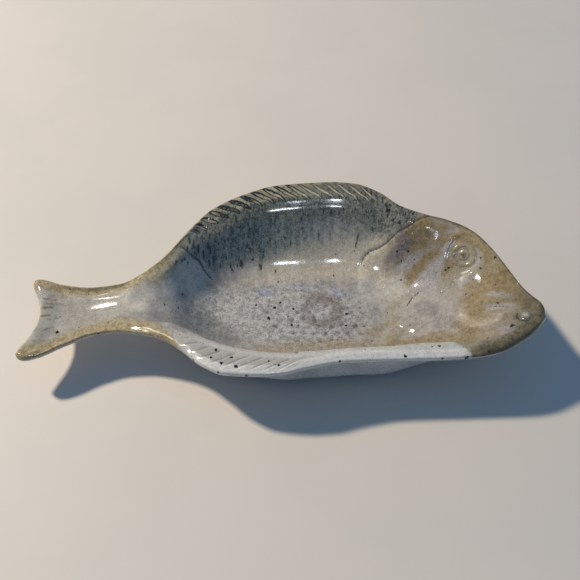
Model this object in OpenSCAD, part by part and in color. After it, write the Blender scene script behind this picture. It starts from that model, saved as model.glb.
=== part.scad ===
// A shallow stoneware serving dish in the shape of a fish, luted together from shaped clay pieces.
// X runs from the tail to the snout, Y from the anal fin to the dorsal fin, and Z is up.
// The origin is on the table, at the middle of the dish's length and width.

/* [Fish] */
// Length from the tips of the tail to the snout
fish_l = 320; // [270:1:380]
// Width from the edge of the anal fin to the edge of the dorsal fin
fish_w = 152; // [130:1:180]
// Height from the table to the top of the dorsal fin, before its edge is rounded
fish_h = 50; // [46:1:60]
// Thickness of the clay
wall = 6; // [4.5:0.5:7]

/* [Rim] */
// Height of the rim at the tips of the tail
tail_h = 28; // [22:1:34]
// Height of the rim along the belly
belly_h = 40; // [36:1:46]
// Height of the rim at the snout
snout_h = 44; // [38:1:50]
// Width of the plain lip that runs round the rim
lip_w = 6; // [4.5:0.5:8]
// How far the rounding of the rim's inner edge reaches
crest_reach = 4; // [2:0.5:6]

/* [Bowl] */
// How far the wall under the dorsal fin runs in from the rim to the floor
back_run = 34; // [28:1:40]
// How far the wall along the belly runs in from the rim to the floor
belly_run = 4; // [2:0.5:8]
// How far the rounding between the wall under the dorsal fin and the floor reaches
back_reach = 17; // [10:1:20]
// How far the rounding between the wall along the belly and the floor reaches
belly_reach = 8; // [6:0.5:14]
// How far the faces of the tail and the snout lie below their edges
dish_depth = 2.5; // [1.5:0.5:4]

/* [Fins] */
// Width of the dorsal fin at its widest
dorsal_fin_w = 15.5; // [12:0.5:20]
// How far the dorsal fin slopes up to its edge
dorsal_fin_rise = 4; // [2:0.5:7]
// Width of the anal fin at its widest
anal_fin_w = 20; // [14:0.5:24]
// How far the anal fin slopes up to its edge
anal_fin_rise = 2; // [0:0.5:5]
// Depth of the fork in the tail
fork_depth = 9; // [4:0.5:14]

/* [Eye and nostril] */
// Outside diameter of the ring of clay round the eye
eye_ring_d = 18; // [14:0.5:20]
// Width of the ring of clay round the eye
eye_ring_band = 3; // [2:0.25:4]
// Diameter of the button of clay in the eye
eye_button_d = 8; // [5:0.5:8.5]
// Diameter of the button of clay at the nostril
nostril_d = 7; // [5:0.5:9]
// How far the ring and the buttons stand proud of the head
sprig_h = 1.2; // [0.8:0.1:2]

/* [Foot] */
// How far the foot ring lies in from the edge of the flat floor
foot_inset = 2; // [1:0.5:5]
// Width of the foot ring's own band
foot_band = 6; // [4:0.5:8]
// Height of the foot ring
foot_h = 3; // [2:0.5:5]

/* [Hidden] */
$fn = 128;

// Places along the length, as shares from the tips of the tail to the snout.
tail_joint_share = 0.24;
dorsal_fin_start_share = 0.285;
anal_fin_start_share = 0.3;
anal_fin_end_share = 0.62;
dorsal_fin_end_share = 0.775;
rim_top_share = 0.6;
fork_end_share = 0.14;
fork_round = 1.4;

// The plan outline, as shares of the length and of the width.
dorsal_shares = [
    [0, 0.015], [0.004, 0.036], [0.012, 0.041], [0.06, 0.008], [0.13, -0.02], [0.18, -0.012], [0.22, 0.028],
    [0.26, 0.1], [0.31, 0.25], [0.35, 0.353], [0.42, 0.434], [0.48, 0.477], [0.54, 0.49], [0.61, 0.5],
    [0.66, 0.488], [0.71, 0.44], [0.75, 0.368], [0.8, 0.323], [0.86, 0.276], [0.89, 0.232], [0.92, 0.141],
    [0.95, -0.005], [0.965, -0.085], [0.98, -0.135], [0.992, -0.168], [1, -0.205]
];
belly_shares = [
    [0, -0.345], [0.006, -0.364], [0.018, -0.374], [0.04, -0.362], [0.09, -0.303], [0.14, -0.261],
    [0.18, -0.253], [0.24, -0.273], [0.28, -0.306], [0.32, -0.372], [0.36, -0.448], [0.4, -0.489],
    [0.46, -0.5], [0.51, -0.492], [0.55, -0.468], [0.63, -0.437], [0.75, -0.428], [0.86, -0.416],
    [0.9, -0.4], [0.95, -0.345], [0.98, -0.293], [1, -0.24]
];

// Heights of the rim, as shares of the way from its height at the nearer end to its full height.
dorsal_rise_shares = [
    [0, 0], [0.06, 0.05], [0.14, 0.18], [0.2, 0.28], [0.25, 0.42], [0.33, 0.68], [0.43, 0.9],
    [0.54, 1], [0.65, 1], [0.75, 0.45], [0.83, 0.1], [0.92, 0], [1, 0]
];
belly_rise_shares = [
    [0, 0], [0.085, 0.05], [0.16, 0.25], [0.24, 0.47], [0.32, 0.72], [0.39, 0.92], [0.46, 1],
    [0.65, 1], [0.81, 1], [0.9, 0.62], [1, 0]
];
// Depth of the floor, as shares of the way from just below the rim down to the flat of the bowl.
depth_shares = [
    [0, 0], [0.17, 0.02], [0.22, 0.1], [0.27, 0.4], [0.32, 0.82], [0.37, 1],
    [0.695, 1], [0.74, 0.9], [0.8, 0.67], [0.87, 0.38], [0.93, 0.15], [0.97, 0.04], [1, 0]
];
// How far the faces of the tail and the snout are dished, as shares of their full depth.
dish_shares = [[0, 0.1], [0.05, 0.4], [0.12, 1], [0.85, 1], [0.92, 0.5], [0.97, 0.05], [1, 0]];
// Widths of the fins, as shares of the way from the plain lip to their full width.
dorsal_fin_shares = [
    [0, 0], [0.24, 0], [0.285, 0.15], [0.315, 0.4], [0.345, 0.88], [0.4, 0.95], [0.55, 1],
    [0.66, 1], [0.72, 0.55], [0.775, 0.15], [0.82, 0], [1, 0]
];
anal_fin_shares = [
    [0, 0], [0.24, 0.05], [0.3, 0.55], [0.35, 0.9], [0.39, 1], [0.43, 0.86], [0.49, 0.63], [0.54, 0.4],
    [0.62, 0.17], [0.68, 0.17], [0.77, 0.33], [0.84, 0.3], [0.93, 0.05], [1, 0]
];
// Runs of the walls from the rim to the floor, as shares of their full runs.
back_run_shares = [
    [0, 0.12], [0.17, 0.16], [0.23, 0.32], [0.28, 0.56], [0.34, 0.86], [0.42, 1],
    [0.68, 1], [0.78, 0.9], [0.9, 0.66], [1, 0.1]
];
belly_run_shares = [[0, 1], [0.2, 1.5], [0.3, 1.6], [0.4, 1], [0.69, 1], [0.77, 1.3], [0.85, 2.4], [0.92, 3], [1, 0.8]];

// Limits where the dish is too narrow for its full lips, walls and roundings.
lip_limit_share = 0.2;
run_limit_share = 0.3;
crest_limit_share = 0.3;
floor_limit_share = 0.6;
edge_limit_share = 0.45;

// Places of the eye and the nostril, as shares of the length and of the width.
eye_x_share = 0.876;
eye_y_share = 0.136;
nostril_x_share = 0.964;
nostril_y_share = -0.232;
// Ends of the foot ring, and of the stretch of floor that its straight sides keep to, as shares of the length.
foot_start_share = 0.385;
foot_end_share = 0.68;
foot_side_shares = [0.44, 0.53, 0.62];

// Divisions of the form: along the length between named stations, and across it between named edges.
edge_angles = [0, 35, 62, 90];
edge_min_share = 0.3;
tail_steps = 12;
shoulder_steps = 3;
fin_lead_steps = 1;
anal_fin_steps = 19;
back_steps = 9;
head_steps = 20;
flange_steps = 3;
crest_steps = 3;
wall_steps = 2;
floor_round_steps = 4;
floor_steps = 3;

edge_r = wall / 2;
sink = wall / 2;
slope_step = 0.004;
eye_button_crown = eye_button_d;
nostril_crown = nostril_d;

function clamp(v, low, high) = min(max(v, low), high);
function mix(a, b, share) = a + (b - a) * share;

// A smooth curve through [station, value] pairs that doesn't overshoot them.
function secant(pairs, i) = (pairs[i + 1][1] - pairs[i][1]) / (pairs[i + 1][0] - pairs[i][0]);
function slope(pairs, i) =
    i == 0 ? secant(pairs, 0) :
    i == len(pairs) - 1 ? secant(pairs, i - 1) :
    let (before = secant(pairs, i - 1), after = secant(pairs, i))
    before * after <= 0 ? 0 : 2 * before * after / (before + after);
function span(pairs, s, i = 0) = i >= len(pairs) - 2 || s < pairs[i + 1][0] ? i : span(pairs, s, i + 1);
function curve(pairs, s) =
    let (i = span(pairs, s), w = pairs[i + 1][0] - pairs[i][0], p = clamp((s - pairs[i][0]) / w, 0, 1), q = 1 - p)
    pairs[i][1] * (1 + 2 * p) * q * q + slope(pairs, i) * w * p * q * q
    + pairs[i + 1][1] * (1 + 2 * q) * p * p - slope(pairs, i + 1) * w * q * p * p;

// Lines on the middle of the clay, at the share s of the length.
function nearer_end_h(s) = s < rim_top_share ? tail_h : snout_h;
function dorsal_y(s) = fish_w * curve(dorsal_shares, s);
function belly_y(s) = fish_w * curve(belly_shares, s);
function dorsal_z(s) = mix(nearer_end_h(s), fish_h, curve(dorsal_rise_shares, s)) - wall / 2;
function belly_z(s) = mix(nearer_end_h(s), belly_h, curve(belly_rise_shares, s)) - wall / 2;
function floor_z(s) =
    mix(min(dorsal_z(s), belly_z(s)) - dish_depth * curve(dish_shares, s), foot_h + wall / 2, curve(depth_shares, s));

// Points that lead from a, up to and with b: straight, or rounding the corner c.
function toward(a, b, reach) = a + (b - a) * min(reach / norm(b - a), 1);
function straight(a, b, steps) = [for (k = [1 : steps]) mix(a, b, k / steps)];
function rounded(a, c, b, steps) = [for (k = [1 : steps]) let (p = k / steps) mix(mix(a, c, p), mix(c, b, p), p)];

// Half a cross-section, from the rim's edge over its crest and down the wall to the middle of the floor.
function half_section(edge, crest, foot, middle, reach) =
    let (lip = norm(crest - edge), side = norm(foot - crest), bed = norm(middle - foot))
    let (r = min(edge_r, edge_limit_share * lip))
    let (crest_r = min(crest_reach, edge_limit_share * lip, crest_limit_share * side))
    let (foot_r = min(reach, floor_limit_share * side, floor_limit_share * bed))
    let (rim = [for (a = edge_angles) toward(edge, crest, r * (1 - cos(a)))])
    let (crest_in = toward(crest, edge, crest_r), crest_out = toward(crest, foot, crest_r))
    let (foot_in = toward(foot, crest, foot_r), foot_out = toward(foot, middle, foot_r))
    concat(
        rim,
        straight(rim[len(rim) - 1], crest_in, flange_steps),
        rounded(crest_in, crest, crest_out, crest_steps),
        straight(crest_out, foot_in, wall_steps),
        rounded(foot_in, foot, foot_out, floor_round_steps),
        straight(foot_out, middle, floor_steps)
    );

// The whole cross-section at the share s of the length, from the belly's edge to the dorsal edge, as [y, z].
function section(s) =
    let (belly_edge = [belly_y(s), belly_z(s)], dorsal_edge = [dorsal_y(s), dorsal_z(s)])
    let (w = dorsal_edge[0] - belly_edge[0], lip_limit = lip_limit_share * w)
    let (dorsal_share = curve(dorsal_fin_shares, s), anal_share = curve(anal_fin_shares, s))
    let (dorsal_lip = min(mix(lip_w, dorsal_fin_w, dorsal_share), lip_limit))
    let (belly_lip = min(mix(lip_w, anal_fin_w, anal_share), lip_limit))
    let (dorsal_crest = dorsal_edge - [dorsal_lip, dorsal_fin_rise * dorsal_share])
    let (belly_crest = belly_edge + [belly_lip, -anal_fin_rise * anal_share])
    let (run_limit = run_limit_share * (dorsal_crest[0] - belly_crest[0]), z = floor_z(s))
    let (dorsal_foot = [dorsal_crest[0] - min(back_run * curve(back_run_shares, s), run_limit), z])
    let (belly_foot = [belly_crest[0] + min(belly_run * curve(belly_run_shares, s), run_limit), z])
    let (middle = (dorsal_foot + belly_foot) / 2)
    let (near = half_section(belly_edge, belly_crest, belly_foot, middle, belly_reach))
    let (far = half_section(dorsal_edge, dorsal_crest, dorsal_foot, middle, back_reach))
    concat(near, [for (k = [len(far) - 2 : -1 : 0]) far[k]]);

// Stations along the length, with close ones where the ends are rounded.
end_shares = [for (a = edge_angles) edge_r * (1 - cos(a)) / fish_l];
end_share = edge_r / fish_l;
stations = concat(
    end_shares,
    straight(end_share, tail_joint_share, tail_steps),
    straight(tail_joint_share, dorsal_fin_start_share, shoulder_steps),
    straight(dorsal_fin_start_share, anal_fin_start_share, fin_lead_steps),
    straight(anal_fin_start_share, anal_fin_end_share, anal_fin_steps),
    straight(anal_fin_end_share, dorsal_fin_end_share, back_steps),
    straight(dorsal_fin_end_share, 1 - end_share, head_steps),
    [for (k = [len(end_shares) - 2 : -1 : 0]) 1 - end_shares[k]]
);
tail_joint = len(end_shares) - 1 + tail_steps;
dorsal_fin_start = tail_joint + shoulder_steps;
anal_fin_start = dorsal_fin_start + fin_lead_steps;
anal_fin_end = anal_fin_start + anal_fin_steps;
dorsal_fin_end = anal_fin_end + back_steps;
last_station = len(stations) - 1;

sections = [for (s = stations) section(s)];
last_column = len(sections[0]) - 1;
fin_columns = len(edge_angles) - 1 + flange_steps;

// The foot ring keeps to the flat of the floor, which is between these columns of the cross-sections.
flat_column = fin_columns + crest_steps + wall_steps + floor_round_steps;
foot_low = max([for (s = foot_side_shares) section(s)[flat_column][0]]) + foot_inset;
foot_high = min([for (s = foot_side_shares) section(s)[last_column - flat_column][0]]) - foot_inset;
foot_l = (foot_end_share - foot_start_share) * fish_l;
foot_w = foot_high - foot_low;

// The middle of the clay. The fork curves the stations of the tail inwards between its tips.
function fork(s, y, low, high) =
    s >= fork_end_share ? 0 :
    let (fade = 1 - s / fork_end_share, across = (2 * y - low - high) / (high - low))
    fork_depth * fade * fade * pow(max(1 - across * across, 0), fork_round);
middle_grid = [for (i = [0 : last_station])
    let (s = stations[i], row = sections[i])
    [for (p = row) [(s - 0.5) * fish_l + fork(s, p[0], row[0][0], row[last_column][0]), p[0], p[1]]]
];

// Half the thickness of the clay at a grid point, which falls away round the rim.
function edge_fullness(k, last) = k > last / 2 ? edge_fullness(last - k, last) :
    k >= len(edge_angles) ? 1 : max(sin(edge_angles[k]), edge_min_share);
function half_wall(i, j) = wall / 2 * min(edge_fullness(i, last_station), edge_fullness(j, last_column));
function upward(i, j) =
    let (along = middle_grid[min(i + 1, last_station)][j] - middle_grid[max(i - 1, 0)][j])
    let (across = middle_grid[i][min(j + 1, last_column)] - middle_grid[i][max(j - 1, 0)])
    let (n = cross(along, across))
    n / norm(n);
grid_points = [for (side = [1, -1], i = [0 : last_station], j = [0 : last_column])
    middle_grid[i][j] + side * half_wall(i, j) * upward(i, j)];
function top(i, j) = i * (last_column + 1) + j;
function under(i, j) = (last_station + 1) * (last_column + 1) + top(i, j);

// Which piece of clay holds the cell between stations i and i + 1 and columns j and j + 1.
function in_tail(i, j) = i < tail_joint;
function in_dorsal_fin(i, j) = i >= dorsal_fin_start && i < dorsal_fin_end && j >= last_column - fin_columns;
function in_anal_fin(i, j) = i >= anal_fin_start && i < anal_fin_end && j < fin_columns;
function in_piece(name, i, j) =
    i < 0 || j < 0 || i >= last_station || j >= last_column ? false :
    name == "tail" ? in_tail(i, j) :
    name == "dorsal_fin" ? in_dorsal_fin(i, j) :
    name == "anal_fin" ? in_anal_fin(i, j) :
    name == "head" ? i >= dorsal_fin_end :
    !in_tail(i, j) && !in_dorsal_fin(i, j) && !in_anal_fin(i, j);

// Two triangles on the four grid points a, b, c and d, and the faces round one cell.
function pair(a, b, c, d) = [[a, b, c], [a, c, d]];
function cell_faces(name, i, j) = concat(
    pair(top(i, j), top(i, j + 1), top(i + 1, j + 1), top(i + 1, j)),
    pair(under(i, j), under(i + 1, j), under(i + 1, j + 1), under(i, j + 1)),
    in_piece(name, i - 1, j) ? [] : pair(top(i, j), under(i, j), under(i, j + 1), top(i, j + 1)),
    in_piece(name, i + 1, j) ? [] : pair(top(i + 1, j + 1), under(i + 1, j + 1), under(i + 1, j), top(i + 1, j)),
    in_piece(name, i, j - 1) ? [] : pair(top(i + 1, j), under(i + 1, j), under(i, j), top(i, j)),
    in_piece(name, i, j + 1) ? [] : pair(top(i, j + 1), under(i, j + 1), under(i + 1, j + 1), top(i + 1, j + 1))
);
module clay(name) {
    faces = [for (i = [0 : last_station - 1], j = [0 : last_column - 1])
        if (in_piece(name, i, j)) each cell_faces(name, i, j)];
    polyhedron(points = grid_points, faces = faces, convexity = 8);
}

// Puts its children on the head's face at a share of the length and of the width, square to the face.
function face_z(s, y) = lookup(y, section(s));
module on_head(x_share, y_share) {
    y = fish_w * y_share;
    run = 2 * slope_step * fish_l;
    rise_x = (face_z(x_share + slope_step, y) - face_z(x_share - slope_step, y)) / run;
    rise_y = (face_z(x_share, y + run / 2) - face_z(x_share, y - run / 2)) / run;
    lean = atan(norm([rise_x, rise_y]));
    translate([(x_share - 0.5) * fish_l, y, face_z(x_share, y)])
        rotate([0, lean, atan2(-rise_y, -rise_x)])
            translate([0, 0, wall / 2])
                children();
}

// A disc of clay with a crowned top, which reaches below the head's face to be cut to it.
module button(d, crown) {
    intersection() {
        translate([0, 0, -sink]) cylinder(d = d, h = sink + sprig_h);
        translate([0, 0, sprig_h - crown]) sphere(r = crown);
    }
}

module stadium(l, w) {
    for (end = [-1, 1]) translate([end * (l - w) / 2, 0]) circle(d = w);
    square([l - w, w], center = true);
}

module bowl() {
    color("lightsteelblue") clay("bowl");
}

module tail() {
    color("tan") clay("tail");
}

module dorsal_fin() {
    color("darkkhaki") clay("dorsal_fin");
}

module anal_fin() {
    color("ivory") clay("anal_fin");
}

module eye_ring() {
    color("rosybrown") difference() {
        on_head(eye_x_share, eye_y_share) rotate_extrude() {
            translate([(eye_ring_d - eye_ring_band) / 2, 0]) circle(d = eye_ring_band);
        }
        clay("head");
    }
}

module eye_button() {
    color("wheat") difference() {
        on_head(eye_x_share, eye_y_share) button(eye_button_d, eye_button_crown);
        clay("head");
    }
}

module nostril_button() {
    color("gainsboro") difference() {
        on_head(nostril_x_share, nostril_y_share) button(nostril_d, nostril_crown);
        clay("head");
    }
}

module foot_ring() {
    color("peru") translate([(foot_start_share + foot_end_share - 1) / 2 * fish_l, (foot_low + foot_high) / 2, 0])
        linear_extrude(foot_h) difference() {
            stadium(foot_l, foot_w);
            stadium(foot_l - 2 * foot_band, foot_w - 2 * foot_band);
        }
}

bowl();
tail();
dorsal_fin();
anal_fin();
eye_ring();
eye_button();
nostril_button();
foot_ring();
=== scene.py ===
"""A fish-shaped stoneware dish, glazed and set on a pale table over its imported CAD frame."""

import functools
import logging
import math
from dataclasses import dataclass, field
from enum import Enum
from typing import Any, ClassVar, Union

import bpy
import numpy as np
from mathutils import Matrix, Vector
from mathutils.bvhtree import BVHTree


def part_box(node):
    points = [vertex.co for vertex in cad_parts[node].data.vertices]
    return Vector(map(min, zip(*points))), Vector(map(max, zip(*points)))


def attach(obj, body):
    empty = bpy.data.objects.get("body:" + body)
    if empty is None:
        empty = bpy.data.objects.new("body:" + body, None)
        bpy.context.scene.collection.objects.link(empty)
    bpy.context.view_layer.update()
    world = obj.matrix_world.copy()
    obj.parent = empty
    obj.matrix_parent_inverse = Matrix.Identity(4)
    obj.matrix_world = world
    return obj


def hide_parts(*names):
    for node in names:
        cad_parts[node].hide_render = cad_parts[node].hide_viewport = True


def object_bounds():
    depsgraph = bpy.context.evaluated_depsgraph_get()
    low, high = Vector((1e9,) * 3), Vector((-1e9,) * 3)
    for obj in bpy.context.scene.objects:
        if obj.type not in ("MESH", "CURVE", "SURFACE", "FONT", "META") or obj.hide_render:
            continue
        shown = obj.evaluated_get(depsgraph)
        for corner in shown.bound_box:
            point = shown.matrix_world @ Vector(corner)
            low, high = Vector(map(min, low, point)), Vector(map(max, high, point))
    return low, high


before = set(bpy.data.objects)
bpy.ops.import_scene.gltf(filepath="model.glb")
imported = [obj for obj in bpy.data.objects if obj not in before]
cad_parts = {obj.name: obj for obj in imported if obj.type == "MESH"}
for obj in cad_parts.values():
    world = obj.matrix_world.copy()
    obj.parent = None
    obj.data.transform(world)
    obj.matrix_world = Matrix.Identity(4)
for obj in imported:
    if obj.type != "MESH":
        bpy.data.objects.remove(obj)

CAD_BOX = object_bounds()
MM = 0.001
ROOT = "root"
LOG = logging.getLogger("fish_dish")

Array = np.ndarray
Table = tuple[tuple[float, float], ...]
Colour = tuple[int, int, int]
Point = tuple[float, float, float]
Line = tuple[tuple[float, float], ...]
Spot = tuple[float, float, float, float]
Marks = dict[str, Array]


class Side(Enum):
    """The two long edges of the fish."""

    BELLY = "belly"
    DORSAL = "dorsal"


class Grain(Enum):
    """How a pool's border breaks up: in soft clouds, in streaks down the wall, or in fine speckle."""

    CLOUD = "cloud"
    STREAK = "streak"
    SPECKLE = "speckle"


class Flow(Enum):
    """What runs or settles in a glaze as it melts."""

    FLECKS = "flecks"
    MATT_EDGE = "matt edge"


def curve(table: Table, at: Array) -> Array:
    """Read a given table as a smooth line that never overshoots.

    Args:
        table: Pairs of a share along the fish and a value.
        at: The shares to read.

    Returns:
        The value at each share.
    """
    knots, values = np.array(table, float).T
    secant = np.diff(values) / np.diff(knots)
    before, after = secant[:-1], secant[1:]
    turn = before * after <= 0
    inner = np.where(turn, 0, 2 * before * after / np.where(turn, 1, before + after))
    slope = np.concatenate([secant[:1], inner, secant[-1:]])
    span = np.clip(np.searchsorted(knots, at, side="right") - 1, 0, len(knots) - 2)
    gap = knots[span + 1] - knots[span]
    p = np.clip((at - knots[span]) / gap, 0, 1)
    q = 1 - p
    return (values[span] * (1 + 2 * p) * q * q + slope[span] * gap * p * q * q
            + values[span + 1] * (1 + 2 * q) * p * p - slope[span + 1] * gap * q * p * p)


def between(start: Any, end: Any, share: Any) -> Any:
    """Mix two values or rows of points by a share."""
    return start + (end - start) * share


def ramp(low: float, high: float, value: Array) -> Array:
    """Rise smoothly from 0 at low to 1 at high, or fall where high is the smaller."""
    p = np.clip((value - low) / (high - low), 0, 1)
    return p * p * (3 - 2 * p)


def unit(vectors: Array) -> Array:
    """Scale vectors to length one."""
    return vectors / np.maximum(np.linalg.norm(vectors, axis=-1, keepdims=True), 1e-12)


def shares(count: int) -> list[float]:
    """Divide a stretch evenly, leaving out its start."""
    return [k / count for k in range(1, count + 1)]


def run_along(row: Array) -> Array:
    """Measure how far a row of points has run at each of them."""
    return np.concatenate([[0], np.cumsum(np.linalg.norm(np.diff(row, axis=0), axis=1))])


def facing(grid: Array) -> Array:
    """Give the normals of a grid of points."""
    return unit(np.cross(np.gradient(grid, axis=0), np.gradient(grid, axis=1)))


def from_line(points: Array, line: Line) -> tuple[Array, Array, Array]:
    """Measure how far points lie from a line drawn flat.

    Args:
        points: Places on the flat, the two numbers last.
        line: The line's corners.

    Returns:
        The distance of each point, its share of the way along the line, and 1 on the line's left or -1 on
        its right.
    """
    best = np.full(points.shape[:-1], 1e9)
    share, side = np.zeros(points.shape[:-1]), np.ones(points.shape[:-1])
    corners = np.array(line, float)
    runs = run_along(corners)
    for k in range(len(corners) - 1):
        step = corners[k + 1] - corners[k]
        p = np.clip((points - corners[k]) @ step / (step @ step), 0, 1)
        away = np.linalg.norm(points - corners[k] - p[..., None] * step, axis=-1)
        near = away < best
        best = np.where(near, away, best)
        share = np.where(near, (runs[k] + p * (runs[k + 1] - runs[k])) / runs[-1], share)
        left = step[0] * (points[..., 1] - corners[k, 1]) - step[1] * (points[..., 0] - corners[k, 0])
        side = np.where(near, np.where(left < 0, -1.0, 1.0), side)
    return best, share, side


@dataclass(frozen=True)
class SideSteps:
    """How finely one half of a section is divided, from its edge to the middle."""

    edge: int
    flange: int
    crest: int
    wall: int
    bend: int
    floor: int

    @property
    def fin(self) -> int:
        """Count the cells of a fin strip, from the edge to the crest."""
        return self.edge + self.flange


@dataclass
class ClaySheet:
    """The dish's clay as a grid of stations by columns, in millimetres."""

    share: Array
    top: Array
    under: Array
    top_normal: Array
    under_normal: Array
    marks: Marks

    def row(self, share: float) -> int:
        """Find the station at a share of the length."""
        return int(np.argmin(np.abs(self.share - share)))


@dataclass(frozen=True)
class FishForm:
    """The dish's outline, rim heights, walls and floor. Lengths are in millimetres."""

    length: float = 320.0
    width: float = 152.0
    height: float = 50.0
    wall: float = 6.0
    tail_height: float = 28.0
    belly_height: float = 40.0
    snout_height: float = 44.0
    lip: float = 6.0
    crest_reach: float = 4.0
    back_run: float = 34.0
    belly_run: float = 4.0
    back_reach: float = 17.0
    belly_reach: float = 8.0
    dish_depth: float = 2.5
    dorsal_fin_width: float = 15.5
    dorsal_fin_rise: float = 4.0
    anal_fin_width: float = 20.0
    anal_fin_rise: float = 2.0
    fork_depth: float = 9.0
    foot: float = 3.0
    unit_scale: float = 1.0
    tail_joint: float = 0.24
    dorsal_fin_span: tuple[float, float] = (0.285, 0.775)
    anal_fin_span: tuple[float, float] = (0.3, 0.62)
    belly_steps: SideSteps = SideSteps(7, 24, 8, 8, 10, 24)
    dorsal_steps: SideSteps = SideSteps(7, 26, 9, 28, 20, 24)

    OVERALL: ClassVar[float] = 320.24
    EDGE_FULL: ClassVar[float] = 0.05
    LIP_LIMIT: ClassVar[float] = 0.2
    RUN_LIMIT: ClassVar[float] = 0.3
    FORK_END: ClassVar[float] = 0.14
    HEADROOM: ClassVar[float] = 0.01
    DORSAL: ClassVar[Table] = (
        (0, .015), (.004, .036), (.012, .041), (.06, .008), (.13, -.02), (.18, -.012), (.22, .028),
        (.26, .1), (.31, .25), (.35, .353), (.42, .434), (.48, .477), (.54, .49), (.61, .5),
        (.66, .488), (.71, .44), (.75, .368), (.8, .323), (.86, .276), (.89, .232), (.92, .141),
        (.95, -.005), (.965, -.085), (.98, -.135), (.992, -.168), (1, -.205))
    BELLY: ClassVar[Table] = (
        (0, -.345), (.006, -.364), (.018, -.374), (.04, -.362), (.09, -.303), (.14, -.261),
        (.18, -.253), (.24, -.273), (.28, -.306), (.32, -.372), (.36, -.448), (.4, -.489),
        (.46, -.5), (.51, -.492), (.55, -.468), (.63, -.437), (.75, -.428), (.86, -.416),
        (.9, -.4), (.95, -.345), (.98, -.293), (1, -.24))
    DORSAL_RISE: ClassVar[Table] = (
        (0, 0), (.06, .05), (.14, .18), (.2, .28), (.25, .42), (.33, .68), (.43, .9), (.54, 1),
        (.65, 1), (.75, .45), (.83, .1), (.92, 0), (1, 0))
    BELLY_RISE: ClassVar[Table] = (
        (0, 0), (.085, .05), (.16, .25), (.24, .47), (.32, .72), (.39, .92), (.46, 1), (.65, 1),
        (.81, 1), (.9, .62), (1, 0))
    DEPTH: ClassVar[Table] = (
        (0, 0), (.17, .02), (.22, .1), (.27, .4), (.32, .82), (.37, 1), (.695, 1), (.74, .9),
        (.8, .67), (.87, .38), (.93, .15), (.97, .04), (1, 0))
    DISH: ClassVar[Table] = ((0, .1), (.05, .4), (.12, 1), (.85, 1), (.92, .5), (.97, .05), (1, 0))
    DORSAL_FIN: ClassVar[Table] = (
        (0, 0), (.24, 0), (.285, .15), (.315, .4), (.345, .88), (.4, .95), (.55, 1), (.66, 1),
        (.72, .55), (.775, .15), (.82, 0), (1, 0))
    ANAL_FIN: ClassVar[Table] = (
        (0, 0), (.24, .05), (.3, .55), (.35, .9), (.39, 1), (.43, .86), (.49, .63), (.54, .4),
        (.62, .17), (.68, .17), (.77, .33), (.84, .3), (.93, .05), (1, 0))
    BACK_RUN: ClassVar[Table] = (
        (0, .12), (.17, .16), (.23, .32), (.28, .56), (.34, .86), (.42, 1), (.68, 1), (.78, .9),
        (.9, .66), (1, .1))
    BELLY_RUN: ClassVar[Table] = (
        (0, 1), (.2, 1.5), (.3, 1.6), (.4, 1), (.69, 1), (.77, 1.3), (.85, 2.4), (.92, 3), (1, .8))

    @classmethod
    def from_frame(cls) -> "FishForm":
        """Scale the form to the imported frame's own length."""
        overall = (CAD_BOX[1][0] - CAD_BOX[0][0]) / MM
        return cls(unit_scale=overall / cls.OVERALL)

    def stations(self) -> Array:
        """Choose the stations along the fish, close together at both rounded ends.

        Returns:
            Shares of the length, with one at each seam.
        """
        tip = self.wall / 2 / self.length * (1 - np.cos(np.linspace(0, np.pi / 2, 8)))
        stops = [tip[-1], self.tail_joint, self.dorsal_fin_span[0], self.anal_fin_span[0],
                 self.anal_fin_span[1], self.dorsal_fin_span[1], 1 - tip[-1]]
        shares = [tip]
        for k, (start, end) in enumerate(zip(stops, stops[1:])):
            count = math.ceil((end - start) * self.length / (0.9 if k == 0 else 0.95))
            shares.append(np.linspace(start, end, count + 1)[1:])
        shares.append(1 - tip[-2::-1])
        return np.concatenate(shares)

    def _half(self, edge: Array, crest: Array, foot: Array, middle: Array, reach: float,
              steps: SideSteps) -> tuple[list[Array], list[float]]:
        """Draw one half of every section, from the rounded edge to the middle of the floor.

        Args:
            edge: The outline's points, as y and z.
            crest: The corners between fin or lip and wall.
            foot: The corners between wall and floor.
            middle: The middle of the floor.
            reach: How far the bend at the foot of the wall reaches.
            steps: How finely each stretch is divided.

        Returns:
            The columns of points, and how full the clay is at each.
        """
        def toward(start: Array, end: Array, run: Array) -> Array:
            """Step from one row of points towards another."""
            size = np.linalg.norm(end - start, axis=1)
            return start + (end - start) * np.minimum(run / np.maximum(size, 1e-9), 1)[:, None]

        lip, side = np.linalg.norm(crest - edge, axis=1), np.linalg.norm(foot - crest, axis=1)
        bed = np.linalg.norm(middle - foot, axis=1)
        nose = np.minimum(self.wall / 2, 0.45 * lip)
        bend = np.minimum(np.minimum(self.crest_reach, 0.45 * lip), 0.3 * side)
        low = np.minimum(np.minimum(reach, 0.6 * side), 0.6 * bed)
        crest_in, crest_out = toward(crest, edge, bend), toward(crest, foot, bend)
        foot_in, foot_out = toward(foot, crest, low), toward(foot, middle, low)
        turns = np.linspace(0, np.pi / 2, steps.edge + 1)
        columns = [toward(edge, crest, nose * (1 - math.cos(a))) for a in turns]
        rounded = columns[-1]
        columns += [between(rounded, crest_in, p) for p in shares(steps.flange)]
        columns += [between(between(crest_in, crest, p), between(crest, crest_out, p), p)
                    for p in shares(steps.crest)]
        columns += [between(crest_out, foot_in, p) for p in shares(steps.wall)]
        columns += [between(between(foot_in, foot, p), between(foot, foot_out, p), p)
                    for p in shares(steps.bend)]
        columns += [between(foot_out, middle, p) for p in shares(steps.floor)]
        full = [max(math.sin(a), self.EDGE_FULL) for a in turns]
        return columns, full + [1.0] * (len(columns) - len(full))

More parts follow.
